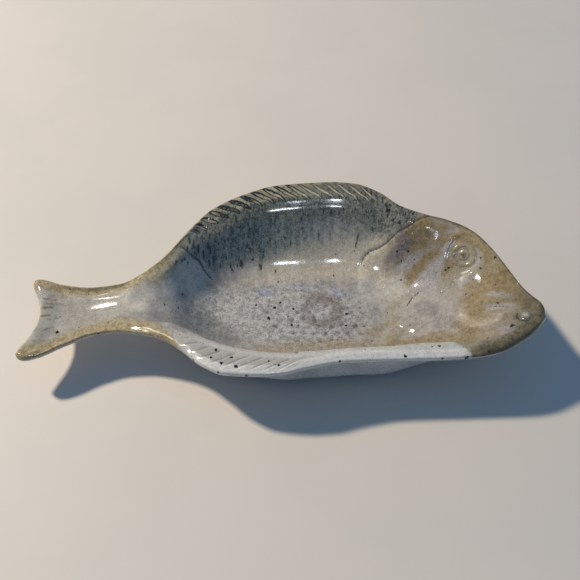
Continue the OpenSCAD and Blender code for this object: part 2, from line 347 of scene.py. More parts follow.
    def _rim(self, s: Array, side: Table, rise: Table, high: float) -> Array:
        """Draw one long edge of the fish.

        Args:
            s: The stations.
            side: The outline, as shares of the width.
            rise: How far the rim has climbed to its full height.
            high: That height.

        Returns:
            The edge's points, as y and z.
        """
        end = np.where(s < 0.6, self.tail_height, self.snout_height)
        return np.stack([self.width * curve(side, s), between(end, high, curve(rise, s)) - self.wall / 2], 1)

    def middle_surface(self, s: Array) -> tuple[Array, Array]:
        """Lay out the middle of the clay's thickness.

        Args:
            s: The stations.

        Returns:
            The grid of points, and how full the clay is at each column.
        """
        belly = self._rim(s, self.BELLY, self.BELLY_RISE, self.belly_height)
        dorsal = self._rim(s, self.DORSAL, self.DORSAL_RISE, self.height)
        floor = between(np.minimum(belly[:, 1], dorsal[:, 1]) - self.dish_depth * curve(self.DISH, s),
                        self.foot + self.wall / 2, curve(self.DEPTH, s))
        span = dorsal[:, 0] - belly[:, 0]
        back, under = curve(self.DORSAL_FIN, s), curve(self.ANAL_FIN, s)
        back_lip = np.minimum(between(self.lip, self.dorsal_fin_width, back), self.LIP_LIMIT * span)
        under_lip = np.minimum(between(self.lip, self.anal_fin_width, under), self.LIP_LIMIT * span)
        back_crest = dorsal - np.stack([back_lip, self.dorsal_fin_rise * back], 1)
        under_crest = belly + np.stack([under_lip, -self.anal_fin_rise * under], 1)
        limit = self.RUN_LIMIT * (back_crest[:, 0] - under_crest[:, 0])
        back_run = np.minimum(self.back_run * curve(self.BACK_RUN, s), limit)
        under_run = np.minimum(self.belly_run * curve(self.BELLY_RUN, s), limit)
        back_foot = np.stack([back_crest[:, 0] - back_run, floor], 1)
        under_foot = np.stack([under_crest[:, 0] + under_run, floor], 1)
        middle = (back_foot + under_foot) / 2
        near, near_full = self._half(belly, under_crest, under_foot, middle,
                                     self.belly_reach, self.belly_steps)
        far, far_full = self._half(dorsal, back_crest, back_foot, middle,
                                   self.back_reach, self.dorsal_steps)
        flat = np.stack(near + far[-2::-1], 1)
        low, high = flat[:, :1, 0], flat[:, -1:, 0]
        across = (2 * flat[..., 0] - low - high) / (high - low)
        fork = np.clip(1 - s / self.FORK_END, 0, 1)[:, None] ** 2 * np.maximum(1 - across ** 2, 0) ** 1.4
        x = (s[:, None] - 0.5) * self.length + self.fork_depth * fork
        return np.concatenate([x[..., None], flat], 2), np.array(near_full + far_full[-2::-1])

    def sheet(self) -> ClaySheet:
        """Make the whole sheet of clay, with its relief and the marks that the glaze follows.

        Returns:
            The upper and lower faces with their normals and marks.
        """
        s = self.stations()
        middle, full = self.middle_surface(s)
        up = facing(middle)
        inward = np.clip(np.minimum(s, 1 - s) * self.length / (self.wall / 2), 0, 1)
        ends = np.maximum(np.sqrt(np.maximum(1 - (1 - inward) ** 2, 0)), self.EDGE_FULL)
        half = self.wall / 2 * np.minimum(ends[:, None], full[None])
        smooth, under = middle + up * half[..., None], middle - up * half[..., None]
        marks = self._marks(s, middle)
        relief = Relief(self).heights(smooth, marks)
        top = smooth + up * relief[..., None]
        highest = (CAD_BOX[1][2] / MM - self.HEADROOM) / self.unit_scale
        top[..., 2] = np.minimum(top[..., 2], highest)
        sheet = ClaySheet(s, top, under, facing(top), -facing(under), marks)
        marks.update(GlazeMap(sheet).pools())
        return sheet

    def _marks(self, s: Array, middle: Array) -> Marks:
        """Measure where each point of the sheet lies on the fish.

        Args:
            s: The stations.
            middle: The middle surface.

        Returns:
            Named grids: along, fall, climb, rim_d, rim_b, blade_d, blade_b, run_d, run_b and across.
        """
        step = np.linalg.norm(np.diff(middle[..., 1:], axis=1), axis=2)
        arc = np.concatenate([np.zeros((len(s), 1)), np.cumsum(step, 1)], 1)
        near, far = self.belly_steps, self.dorsal_steps
        last = arc.shape[1] - 1
        crest_b, crest_d = near.fin + near.crest // 2, last - far.fin - far.crest // 2
        rim_b, rim_d = arc, arc[:, -1:] - arc
        blade_b = np.clip(1 - rim_b / rim_b[:, near.fin:near.fin + 1], 0, 1)
        blade_d = np.clip(1 - rim_d / rim_d[:, last - far.fin:last - far.fin + 1], -0.8, 1)
        run_b, run_d = run_along(middle[:, 0])[:, None], run_along(middle[:, -1])[:, None]
        full = np.ones_like(arc)
        return {
            "along": s[:, None] * self.length * full,
            "fall": arc[:, crest_d:crest_d + 1] - arc,
            "climb": arc - arc[:, crest_b:crest_b + 1],
            "rim_d": rim_d, "rim_b": rim_b, "blade_d": blade_d, "blade_b": blade_b,
            "run_d": run_d * full, "run_b": run_b * full,
            "across": 2 * arc / arc[:, -1:] - 1,
        }


@dataclass(frozen=True)
class Relief:
    """What the maker's tools and fingers left in the upper face. Heights are in millimetres."""

    form: FishForm
    dorsal_gap: float = 8.2
    dorsal_lean: float = 14.0
    dorsal_depth: float = 0.75
    anal_gap: float = 8.2
    anal_lean: float = 21.0
    anal_depth: float = 0.38
    anal_lip: float = 0.25
    tail_rays: int = 9
    tail_depth: float = 0.1
    fan_press: float = 2.4
    rim_roll: float = 1.1
    cheek_height: float = 1.2
    snout_swell: float = 1.7
    gill_swell: float = 0.8
    lip_ridge: float = 0.7
    lump_height: float = 0.7
    seat_depth: float = 0.45
    scale_gap: float = 6.4
    scale_depth: float = 0.5
    sway: float = 0.16

    LEAF_START: ClassVar[float] = 0.28
    LEAF_LENGTH: ClassVar[float] = 1.22
    GILL: ClassVar[Line] = (
        (99, 46), (92, 43.5), (84, 40), (78, 38.8), (70, 36), (60, 34.4), (55.6, 32), (53, 27), (50, 22))
    FLANK: ClassVar[Line] = ((-65, 24), (-59.4, 22.2), (-54, 22), (-51, 18.5), (-43, 13.8))
    CHEEK: ClassVar[Line] = ((82, -6.3), (86.5, .1), (91.1, 3.2), (95.4, 2.5))
    UPPER_LIP: ClassVar[Line] = ((131.4, -12.2), (137.9, -14.7))
    LOWER_LIP: ClassVar[Line] = ((128.2, -22.5), (136, -24.5), (143.2, -27))
    RIDGE: ClassVar[Line] = ((127, -17.5), (140, -20.5))
    FOLD: ClassVar[Line] = ((75.2, -5), (74.2, -18), (79, -23.5), (85.5, -27.5), (94, -23), (103, -17.5))
    THROAT: ClassVar[Line] = ((74.6, -17), (72.5, -25), (68.8, -33.5), (64.5, -38.5))
    CREASE: ClassVar[Line] = ((64, 17), (66.5, 13), (69, 9))
    LUMPS: ClassVar[Line] = ((62.5, -36.5), (65, -35), (67.5, -33.2), (70.3, -31.4), (73, -29))
    # each line with its depth, its width and the oxide that stays in it
    INCISED: ClassVar[tuple[tuple[Line, float, float, float], ...]] = (
        (GILL, 0.55, 0.95, 0.8), (FLANK, 0.5, 1.0, 1.0), (CHEEK, 0.3, 0.7, 1.0), (UPPER_LIP, 0.25, 1.3, 0.6),
        (LOWER_LIP, 0.3, 1.5, 0.6))
    # each fold with its height and its width
    FOLDS: ClassVar[tuple[tuple[Line, float, float], ...]] = (
        (FOLD, 0.75, 1.3), (THROAT, 0.8, 1.7), (CREASE, 0.6, 1.1))
    BEAD: ClassVar[Table] = (
        (0, 0), (.33, 0), (.38, .6), (.5, .9), (.56, 1.05), (.67, 1.05), (.73, .4), (.77, 0), (1, 0))
    EYE: ClassVar[tuple[float, float]] = (118.9, 19.2)
    NOSTRIL: ClassVar[tuple[float, float]] = (147.5, -34.9)
    SCALES_MIDDLE: ClassVar[tuple[float, float]] = (22, -13)
    SCALES_REACH: ClassVar[tuple[float, float]] = (52, 25)

    @staticmethod
    def _off(ray: Array, gap: float) -> Array:
        """Measure how far points lie from the middle of the nearest stroke."""
        return (ray - np.floor(ray + 0.5)) * gap

    def heights(self, points: Array, marks: Marks) -> Array:
        """Add up the relief of the upper face, and note grooves and dimples for the glaze.

        Args:
            points: The smooth upper face.
            marks: The sheet's marks, to which ray_d, ray_b, groove and dimple are added.

        Returns:
            The height to add at each point.
        """
        m, flat, x, y = marks, points[..., :2], points[..., 0], points[..., 1]
        marks["ray_d"] = (m["run_d"] - self.dorsal_lean * (1 - m["blade_d"])) / self.dorsal_gap
        marks["ray_b"] = (m["run_b"] - self.anal_lean * (1 - m["blade_b"])) / self.anal_gap
        share, inset = m["along"] / self.form.length, np.minimum(m["rim_b"], m["rim_d"])
        eye = np.hypot((x - self.EYE[0]) / 0.92, y - self.EYE[1])
        nostril = np.hypot((x - self.NOSTRIL[0]) / 0.95, y - self.NOSTRIL[1])
        total = np.zeros(x.shape)
        self._fins(total, m, share)
        self._tail(total, m, share)
        total -= self.fan_press * ramp(-94, -122, x) * ramp(0, 8, inset) * ramp(.01, .06, share)
        self._fingers(total, points, m, share)
        groove = self._lines(total, flat)
        self._head(total, flat)
        marks["groove"] = np.maximum(groove, self._seats(total, flat, eye, nostril))
        marks["dimple"] = self._scales(x, y)
        total -= self.scale_depth * marks["dimple"]
        # the sway of a wall pressed by hand, calmer where the photo's wall is even
        wave = (np.sin(x / 8.1 + 0.7 * np.sin(y / 13)) + np.sin(y / 7.3 - x / 21)
                + np.sin((x + y) / 15.7 + 1.3)) / 3
        far_wall = 0.6 * ramp(48, 30, m["fall"]) * ramp(.3, .36, share) * ramp(.76, .7, share)
        calm = ramp(0, 6, inset) * ramp(12, 17, eye) * ramp(6, 10, nostril) * (1 - far_wall)
        ends = ramp(0, .02, np.minimum(share, 1 - share))
        return (total * ramp(0, 2.5, inset) + self.sway * wave * calm) * ends

    def _fins(self, total: Array, m: Marks, share: Array) -> None:
        """Press the dorsal fin's leaf strokes, roll its crest, and draw the anal fin's grooves.

        Args:
            total: The heights so far, added to in place.
            m: The sheet's marks.
            share: The share of the length at each point.
        """
        blade, off = m["blade_d"], self._off(m["ray_d"], self.dorsal_gap)
        body = np.clip((blade + self.LEAF_START) / self.LEAF_LENGTH, 0, 1)
        leaf = 2.5 * np.sqrt(np.sin(np.pi * body)) + 1e-6
        span = ramp(.296, .32, share) * ramp(.745, .71, share)
        total -= (span * self.dorsal_depth * np.clip(1 - (off / leaf) ** 2, 0, 1)
                  * ramp(-self.LEAF_START, -0.2, blade)
                  * np.maximum(ramp(.5, .46, share), ramp(0, .25, blade)))
        fall = m["fall"]
        bead = np.where(fall < -2, ramp(-8, -2, fall), np.clip((2 - fall) / 4, 0, 1) ** 2)
        total += bead * curve(self.BEAD, share)
        blade, off = m["blade_b"], self._off(m["ray_b"], self.anal_gap)
        reach = ramp(0.0, 0.15, blade) * ramp(0.9, 0.65, blade)
        span = ramp(.3, .33, share) * ramp(.56, .5, share)
        total -= span * self.anal_depth * reach * np.exp(-(off / 1.5) ** 2)
        total += span * self.anal_lip * reach * np.exp(-((off - 2.6) / 1.6) ** 2)

    def _tail(self, total: Array, m: Marks, share: Array) -> None:
        """Draw the rays of the tail, adding to the heights in place."""
        off = self._off(m["across"] * self.tail_rays / 2 * 1.08, 1.0)
        reach = ramp(.008, .02, share) * ramp(.105, .05, share) * ramp(1, .82, np.abs(m["across"]))
        total -= reach * self.tail_depth * np.exp(-(off / 0.16) ** 2)

    def _fingers(self, total: Array, points: Array, m: Marks, share: Array) -> None:
        """Round off the narrow of the tail, the wall beside it, the brow and the near rim, as wet fingers do.

        Args:
            total: The heights so far, added to in place.
            points: The smooth upper face.
            m: The sheet's marks.
            share: The share of the length at each point.
        """
        s, arc, rounded = share[:, 0], m["rim_b"], self.form.belly_steps.edge
        tail, brow = ramp(.02, .08, s), ramp(.78, .86, s) * ramp(1, .96, s)
        near = self._smoothed(points, arc, 6.5 * tail * ramp(.28, .19, s), 0)
        far = self._smoothed(points, arc, 14 * ramp(.12, .22, s) * ramp(.44, .3, s), rounded)
        total += between(near, far, ramp(-.5, .1, m["across"]) * ramp(.17, .25, share))
        inner = self._smoothed(points, arc, 2 * brow, rounded)
        outer = self._smoothed(points, arc, 9 * brow, rounded)
        total += between(inner, outer, ramp(24, 12, m["rim_d"]) * (share > .6))
        total -= self.rim_roll * ramp(7, 0, arc) ** 2 * ramp(.28, .34, share) * ramp(.92, .85, share)

    def _lines(self, total: Array, flat: Array) -> Array:
        """Incise the gill, the flank, the cheek and the lips.

        Args:
            total: The heights so far, added to in place.
            flat: The points as seen from above.

        Returns:
            How much oxide lies in the lines.
        """
        groove = np.zeros(total.shape)
        for line, depth, wide, oxide in self.INCISED:
            away, part, _ = from_line(flat, line)
            mark = np.exp(-(away / wide) ** 2) * ramp(-.08, .04, part) * ramp(1.02, .8, part)
            total -= depth * mark
            groove = np.maximum(groove, oxide * mark)
        return groove

    def _head(self, total: Array, flat: Array) -> None:
        """Swell the cheek, the snout and the gill, and raise the folds and the ridge of the lips.

        Args:
            total: The heights so far, added to in place.
            flat: The points as seen from above.
        """
        x, y = flat[..., 0], flat[..., 1]
        total += self.cheek_height * ramp(1.15, 0.3, np.hypot((x - 97) / 24, (y + 9.5) / 20))
        for line, high, wide in self.FOLDS:
            away, part, side = from_line(flat, line)
            past = away * side
            total += (high * ramp(-wide, wide, past) * np.exp(-np.maximum(past, 0) / 5)
                      * ramp(0, .2, part) * ramp(1, .75, part))
        total += self.snout_swell * np.exp(-((x - 130) / 17) ** 2 - ((y + 19) / 11) ** 2)
        away, _, _ = from_line(flat + np.array([-7.0, 3.0]), self.GILL)
        total += self.gill_swell * np.exp(-(away / 5) ** 2)
        away, _, _ = from_line(flat, self.RIDGE)
        total += self.lip_ridge * np.exp(-(away / 2.4) ** 2)

    def _seats(self, total: Array, flat: Array, eye: Array, nostril: Array) -> Array:
        """Press in the seats of the eye and the nostril, and leave the lumps of the throat.

        Args:
            total: The heights so far, added to in place.
            flat: The points as seen from above.
            eye: The distance from the eye.
            nostril: The distance from the nostril.

        Returns:
            How much oxide lies round the two seats.
        """
        x, y = flat[..., 0], flat[..., 1]
        total += (self.seat_depth * np.exp(-((eye - 13) / 1.8) ** 2)
                  - 0.3 * np.exp(-((eye - 10.2) / 1.6) ** 2))
        for px, py in self.LUMPS:
            total += self.lump_height * np.exp(-((x - px) ** 2 + (y - py) ** 2) / 1.8 ** 2)
        ring = np.exp(-((nostril - 4.6) / 1.2) ** 2)
        total -= self.seat_depth * ring
        tailward = ramp(3, -3, x - self.NOSTRIL[0] + 0.6 * (y - self.NOSTRIL[1]))
        return np.maximum(0.5 * np.exp(-((eye - 5.2) / 1.6) ** 2), 0.9 * ring * tailward)

    @staticmethod
    def _smoothed(points: Array, arc: Array, spread: Array, inset: int) -> Array:
        """Round off lips and corners, as wet fingers do, and keep both edges where they are.

        Args:
            points: The smooth upper face.
            arc: The run across each section.
            spread: How far the rounding reaches at each station.
            inset: How many columns at each edge are left alone.

        Returns:
            The height to add at each point.
        """
        count = 240
        part = slice(inset, arc.shape[1] - inset)
        added = np.zeros(arc.shape)
        for k in np.nonzero(spread > 0.2)[0]:
            z, run = points[k, part, 2], arc[k, part] - arc[k, inset]
            even = np.linspace(0, run[-1], count + 1)
            line = np.interp(even, run, z)
            padded = np.concatenate([2 * line[0] - line[:0:-1], line, 2 * line[-1] - line[-2::-1]])
            weights = np.exp(-(np.arange(-count, count + 1) * even[1] / spread[k]) ** 2 / 2)
            soft = np.convolve(padded, weights / weights.sum(), "valid")
            added[k, part] = np.interp(run, even, soft) - z
        return added

    def _scales(self, x: Array, y: Array) -> Array:
        """Press a staggered field of round scales into the floor.

        Args:
            x: The places along the fish.
            y: The places across it.

        Returns:
            How deep each point lies in a scale, from 0 to 1.
        """
        dice = np.random.RandomState(7)
        deep = np.zeros(x.shape)
        (mx, my), (long, wide) = self.SCALES_MIDDLE, self.SCALES_REACH
        for row in range(-5, 6):
            for k in range(-10, 11):
                cx = mx + (k + 0.5 * (row % 2)) * self.scale_gap * 1.12 + dice.uniform(-.9, .9)
                cy = my + row * self.scale_gap * 0.86 + dice.uniform(-.8, .8)
                size, press = dice.uniform(1.5, 2.3), dice.uniform(0.35, 1)
                away = math.hypot((cx - mx) / long, (cy - my) / wide)
                if away <= 1:
                    spot = np.exp(-((x - cx) ** 2 + (y - cy) ** 2) / size ** 2)
                    deep = np.maximum(deep, spot * press * min(1, 2.2 * (1 - away)))
        return deep


@dataclass(frozen=True)
class View:
    """Where the dish is looked at from: its front, half way up, through a plain lens."""

    pitch: float = 50.0
    distance: float = 519.0
    aim: Point = (5.9, -1.48, 25.0)
    lens: float = 50.0
    sensor: float = 36.0
    side: int = 580

    def ahead(self) -> Array:
        """Give the direction of sight."""
        p = math.radians(self.pitch)
        return np.array([0.0, math.cos(p), -math.sin(p)])

    def eye(self) -> Array:
        """Give the place of the lens."""
        return np.array(self.aim) - self.ahead() * self.distance

    def picture(self, points: Array) -> tuple[Array, Array]:
        """Find where points of the dish stand in the picture.

        Args:
            points: Places in millimetres.

        Returns:
            Their places across and down the picture.
        """
        p = math.radians(self.pitch)
        away = points - self.eye()
        deep = away @ self.ahead()
        focus = self.lens / self.sensor * self.side
        rise = away @ np.array([0.0, math.sin(p), math.cos(p)])
        return self.side / 2 + focus * away[..., 0] / deep, self.side / 2 - focus * rise / deep


class GlazeMap:
    """Where each pool of glaze lies on the upper face, drawn as the dish is seen from its front; some pools
    are painted light, painted shade and a painted reflection.
    """

    TEAL_REACH: ClassVar[Table] = (
        (0, 0), (.29, 5), (.31, 12), (.33, 19), (.36, 27), (.4, 33), (.44, 35), (.48, 35), (.54, 31),
        (.6, 28.5), (.66, 27), (.7, 20), (.74, 8), (1, 0))
    TEAL_DEPTH: ClassVar[Table] = (
        (0, 0), (.28, 0), (.31, .3), (.35, .82), (.4, 1), (.47, 1), (.52, .86), (.57, .68), (.62, .55),
        (.67, .5), (.72, .46), (.76, 0), (1, 0))
    KHAKI_REACH: ClassVar[Table] = (
        (0, 2), (.31, 3), (.36, 6), (.45, 8), (.55, 11), (.66, 14), (.73, 20), (1, 20))
    EDGE_D: ClassVar[Table] = (
        (0, 9), (.05, 8), (.1, 7), (.16, 6), (.22, 7), (.27, 7), (.31, 2.5), (.7, 2), (.8, 2.5), (.9, 2.5),
        (.96, 1), (1, .5))
    EDGE_B: ClassVar[Table] = (
        (0, 11), (.06, 12), (.12, 11), (.2, 10), (.25, 9), (.29, 6), (.32, 0), (1, 0))
    # each drip's place across and down the picture, its half length and its half width
    DRIPS: ClassVar[tuple[Spot, ...]] = (
        (230, 266, 4, 1.3), (232, 271, 3, 1.0), (241, 264, 6, 1.7), (237, 266, 3, 1.1), (252, 260, 2, 1.8),
        (260, 267, 4, 1.8), (272, 264, 4, 1.0), (275, 271, 3, 1.2), (263, 256, 3, 1.0), (213, 260, 6, 1.1),
        (210, 250, 6, 1.2), (207, 246, 5, 1.0), (220, 266, 4, 1.2), (226, 258, 3, 1.0), (250, 250, 4, .9),
        (184, 259, 3, 1.4), (187, 263, 2, 1.1), (301, 219, 3, 1.2), (302, 228, 2, 1.0), (278, 231, 4, .9),
        (318, 236, 5, .9), (290, 243, 4, .8), (331, 212, 4, 1.1), (343, 208, 3, 1.2), (189, 241, 5, 1.2),
        (193, 245, 6, 1.3), (187, 248, 3, .9), (198, 249, 7, 1.4), (203, 255, 7, 1.4), (195, 254, 4, .9),
        (176, 262, 3, 1.1), (181, 261, 2, 1.0), (209, 263, 5, 1.1), (388, 211, 2, 2.6), (366, 190, 5, .8),
        (371, 193, 6, .8), (376, 196, 6, .9), (382, 200, 5, 1.1), (386, 206, 4, 1.2), (372, 201, 4, .9),
        (372, 229, 3, 1.2))
    # each ray's place down the picture, its length, its lean and its strength
    TAIL_RAYS: ClassVar[tuple[Spot, ...]] = (
        (298, 26, 3, .5), (304, 34, 0, .6), (308, 18, -1, 1), (316, 16, -1, .9), (321, 26, -4, .5),
        (332, 20, -7, .6))
    TAIL_END: ClassVar[float] = 38
    THINNEST: ClassVar[float] = 0.05

    def __init__(self, sheet: ClaySheet) -> None:
        """Note where each point of the sheet stands in the picture."""
        self.sheet = sheet
        self.u, self.v = View().picture(sheet.top)

    def spot(self, u: float, v: float, wide: float, high: float, turn: float = 0.0,
             soft: float = 0.8) -> Array:
        """Lay one soft oval pool.

        Args:
            u: Its middle across the picture.
            v: Its middle down the picture.
            wide: Its half width.
            high: Its half height.
            turn: How far it is turned clockwise, in degrees.
            soft: How wide its border is, as a share.

        Returns:
            The pool's share at each point.
        """
        c, s = math.cos(math.radians(turn)), math.sin(math.radians(turn))
        du, dv = self.u - u, self.v - v
        away = np.hypot((c * du + s * dv) / wide, (c * dv - s * du) / high)
        return ramp(1 + soft / 2, 1 - soft / 2, away)

    def brush(self, *corners: tuple[float, float], wide: float = 1.5, fade: float = 0.2) -> Array:
        """Draw one stroke of the brush.

        Args:
            corners: The stroke's corners in the picture.
            wide: Its half width.
            fade: The share of its length over which each end fades.

        Returns:
            The stroke's share at each point.
        """
        away, part, _ = from_line(np.stack([self.u, self.v], -1), corners)
        return ramp(1.5 * wide, 0.4 * wide, away) * ramp(-.01, fade, part) * ramp(1.01, 1 - fade, part)

    def settle(self, specks: tuple[Point, ...]) -> tuple[Spot, ...]:
        """Lay iron specks on the nearest clay.

        Args:
            specks: The place of each across and down the picture, and its size.

        Returns:
            The place of each on the dish, and its size.
        """
        clay = np.concatenate([self.sheet.top.reshape(-1, 3), self.sheet.under.reshape(-1, 3)])
        u, v = View().picture(clay)
        behind = 0.3 * ((clay - View().eye()) @ View().ahead())
        near = [int(np.argmin(np.hypot(u - across, v - down) + behind)) for across, down, _ in specks]
        return tuple((*map(float, clay[k]), speck[2]) for k, speck in zip(near, specks))

    @staticmethod
    def union(*pools: Array) -> Array:
        """Lay pools together, the strongest showing."""
        return np.maximum.reduce(pools)

    def pools(self) -> Marks:
        """Lay all the pools.

        Returns:
            A grid for each named pool.
        """
        share = self.sheet.marks["along"] / FishForm.length
        return {**self._edges(share), **self._tail(), **self._wall(share), **self._floor(),
                **self._head(share)}

    def _edges(self, share: Array) -> Marks:
        """Lay what shows along the rims, the white of the near wall, and painted light on the near rim's
        shaded outer roll.
        """
        m, union = self.sheet.marks, self.union
        width_d, width_b = curve(self.EDGE_D, share), curve(self.EDGE_B, share)
        edge_d = ramp(1.5, .3, m["rim_d"] / np.maximum(width_d, self.THINNEST))
        edge_b = ramp(1.5, .3, m["rim_b"] / np.maximum(width_b, self.THINNEST)) * (width_b > self.THINNEST)
        back_edge = ramp(2.4, .6, m["rim_d"]) * ramp(.27, .33, share)
        # dark olive glaze along the snout's lower rim, deepened as painted shade where the rim turns down
        near_edge = ramp(15, 2, m["rim_b"]) * ramp(.855, .875, share)
        far_edge = ramp(5, 2, m["rim_d"]) * ramp(.77, .82, share)
        return {
            "run": m["along"] + m["fall"] * 0.43 * ramp(.66, .78, share),
            "edge": union(edge_d, edge_b),
            "dark_edge": union(back_edge, near_edge, far_edge),
            # painted light: paler glaze on the near rim's outer roll, which lies in shade
            "brink": ramp(7, 4, m["rim_b"]) * ramp(.3, .36, share) * ramp(.86, .82, share),
            "white": ramp(.3, .38, share) * ramp(3.5, -1.5, m["climb"] + 16 * ramp(.8, .868, share) ** 2),
        }

    def _tail(self) -> Marks:
        """Lay the pools of the tail and of the bowl's end beside it, among them painted light and painted
        shade.
        """
        spot, brush, union = self.spot, self.brush, self.union
        rays = (strong * brush((self.TAIL_END, v), (self.TAIL_END + run, v + lean), wide=1.3, fade=.35)
                for v, run, lean, strong in self.TAIL_RAYS)
        return {
            "ray": union(*rays),
            # painted shade: dark grey glaze on the shaded inner wall beside the anal fin and beside the far
            # rim's cast shadow
            "haze": union(.85 * spot(212, 329, 32, 13, 33, 1.2), .6 * spot(190, 306, 9, 16, -25, 1.2),
                          .5 * spot(214, 279, 17, 14, 20, 1.4)),
            # painted light: near-white glaze that brightens the tail's narrow and the bowl's end inside the
            # far rim's cast shadow
            "mist": union(.32 * spot(150, 299, 32, 14), .4 * spot(168, 288, 15, 13, -30, 1.2),
                          .34 * spot(190, 277, 22, 24, 0, 1.6)),
            # ochre glaze inside the far rim at the bowl's tail end, made paler as painted light where the
            # rim's shadow falls
            "rust": brush((148, 284), (168, 264), (182, 250), (198, 236), wide=10, fade=.12),
        }

    def _wall(self, share: Array) -> Marks:
        """Lay the pools, flecks and drips of the far wall and its fin."""
        fall, spot, brush, union = self.sheet.marks["fall"], self.spot, self.brush, self.union
        teal = (ramp(9, -12, fall - curve(self.TEAL_REACH, share)) * curve(self.TEAL_DEPTH, share)
                * ramp(-7, 0, fall))
        depth = np.maximum(curve(self.KHAKI_REACH, share), 0.1)
        khaki = (ramp(1.4, 0.4, fall / depth) * ramp(-12, -8, fall) * ramp(.3, .34, share)
                 * ramp(.76, .73, share))
        nape = spot(399, 213, 25, 15, 28)
        drips = (brush((u, v - high), (u + 1, v + high), wide=wide, fade=.3)
                 for u, v, high, wide in self.DRIPS)
        in_bowl = ramp(.27, .32, share) * ramp(.77, .71, share)
        return {
            "teal": teal,
            "khaki": union(khaki, nape * ramp(.7, .73, share)),
            "fleck": union(.95 * teal, khaki, 1.25 * nape, .6 * spot(200, 256, 20, 14)),
            "drip": union(*drips, brush((359, 231), (357, 241), (354, 250), wide=.9)),
            "beige": in_bowl * ramp(8, 30, fall) * ramp(60, 45, fall) * ramp(.36, .48, share),
            "fin_dark": union(.85 * spot(352, 194, 44, 12, 8), .8 * nape),
        }

    def _floor(self) -> Marks:
        """Lay the pools of the floor."""
        spot, union = self.spot, self.union
        ring = np.hypot((self.u - 321) / 22, (self.v - 312) / 15)
        return {
            "foam": union(spot(296, 316, 70, 34, 4), .9 * spot(225, 310, 30, 24)),
            "near_ochre": union(.9 * spot(335, 347, 90, 8, -2), .6 * spot(385, 335, 22, 16)),
            "brown": union(ramp(.5, 0, abs(ring - .8)) * ramp(-16, 10, self.u - 306),
                           .8 * spot(322, 298, 19, 5.5, 8), .3 * spot(352, 322, 14, 18)),
            "violet": .56 * union(spot(266, 292, 11, 5), spot(338, 293, 12, 5, 25),
                                  .5 * spot(300, 288, 20, 4)),
            "cream": union(.9 * spot(394, 288, 14, 12), .6 * spot(372, 290, 16, 14)),
        }

    def _head(self, share: Array) -> Marks:
        """Lay the pools of the head, past the gill, among them painted shade on the snout's lower rim and a
        painted reflection at the throat.
        """
        spot, brush, union = self.spot, self.brush, self.union
        past_gill = ramp(-5, 5, (self.u - 392) * 0.62 + (self.v - 237) * 0.78)
        head = past_gill * ramp(.69, .76, share)
        glints = union(spot(478, 278, 2, 5, -15, .6), spot(451, 242, 4, 3), spot(466, 251, 4, 3))
        brow = brush((440, 214), (470, 236), (492, 264), (512, 292), (545, 312), wide=15, fade=.05)
        return {
            "head": head,
            "matt": head * union(brow, spot(486, 290, 24, 34, 20)) * (1 - glints),
            "cheek": head * union(spot(430, 314, 34, 28, 0, 1.3), .8 * spot(424, 290, 18, 14)),
            "smoke": head * .8 * union(spot(427, 309, 12, 9), .6 * spot(445, 322, 12, 8),
                                       .6 * spot(415, 322, 10, 8)),
            "tan": head * union(
                spot(418, 235, 15, 22, 35), .95 * spot(420, 268, 6, 24, 42), spot(447, 266, 6, 13, 20),
                # painted reflection: the last spot on the next line and the stroke below it tint the throat
                # amber where a warm glint lies
                .8 * spot(471, 312, 13, 30, 14, 1.6), .6 * spot(400, 345, 18, 5, -8),
                .7 * brush((396, 312), (394, 330), (389, 345), (376, 350), wide=3, fade=.25),
                .75 * spot(438, 341, 30, 9, -6), .8 * spot(444, 236, 28, 10, 20),
                .8 * spot(502, 282, 22, 26, 30, 1.2),
                .7 * brush((450, 226), (480, 244), (496, 268), wide=8, fade=.2)),
            "lilac": head * union(
                spot(407, 264, 5, 18, 48), spot(430, 275, 9, 22, 42), spot(507, 330, 8, 6),
                .9 * brush((484, 293), (516, 297), wide=3), .9 * brush((484, 307), (520, 306), wide=3),
                .8 * brush((450, 262), (446, 248), (454, 240), wide=3),
                .8 * brush((474, 246), (481, 258), (476, 270), wide=3),
                .8 * brush((446, 231), (460, 230), wide=2.5), .7 * brush((452, 286), (480, 272), wide=4)),
            "plum": head * union(.95 * spot(394, 258, 8, 26, 44), .7 * spot(383, 276, 5, 12, 44),
                                 .7 * spot(402, 238, 7, 9)),
            # the snout's dark olive glaze; the band along its lower rim is deepened as painted shade where
            # the rim turns down
            "snout": union(ramp(482, 544, self.u),
                           .95 * brush((462, 358), (500, 351), (528, 339), (546, 320), wide=9, fade=.12)),
        }


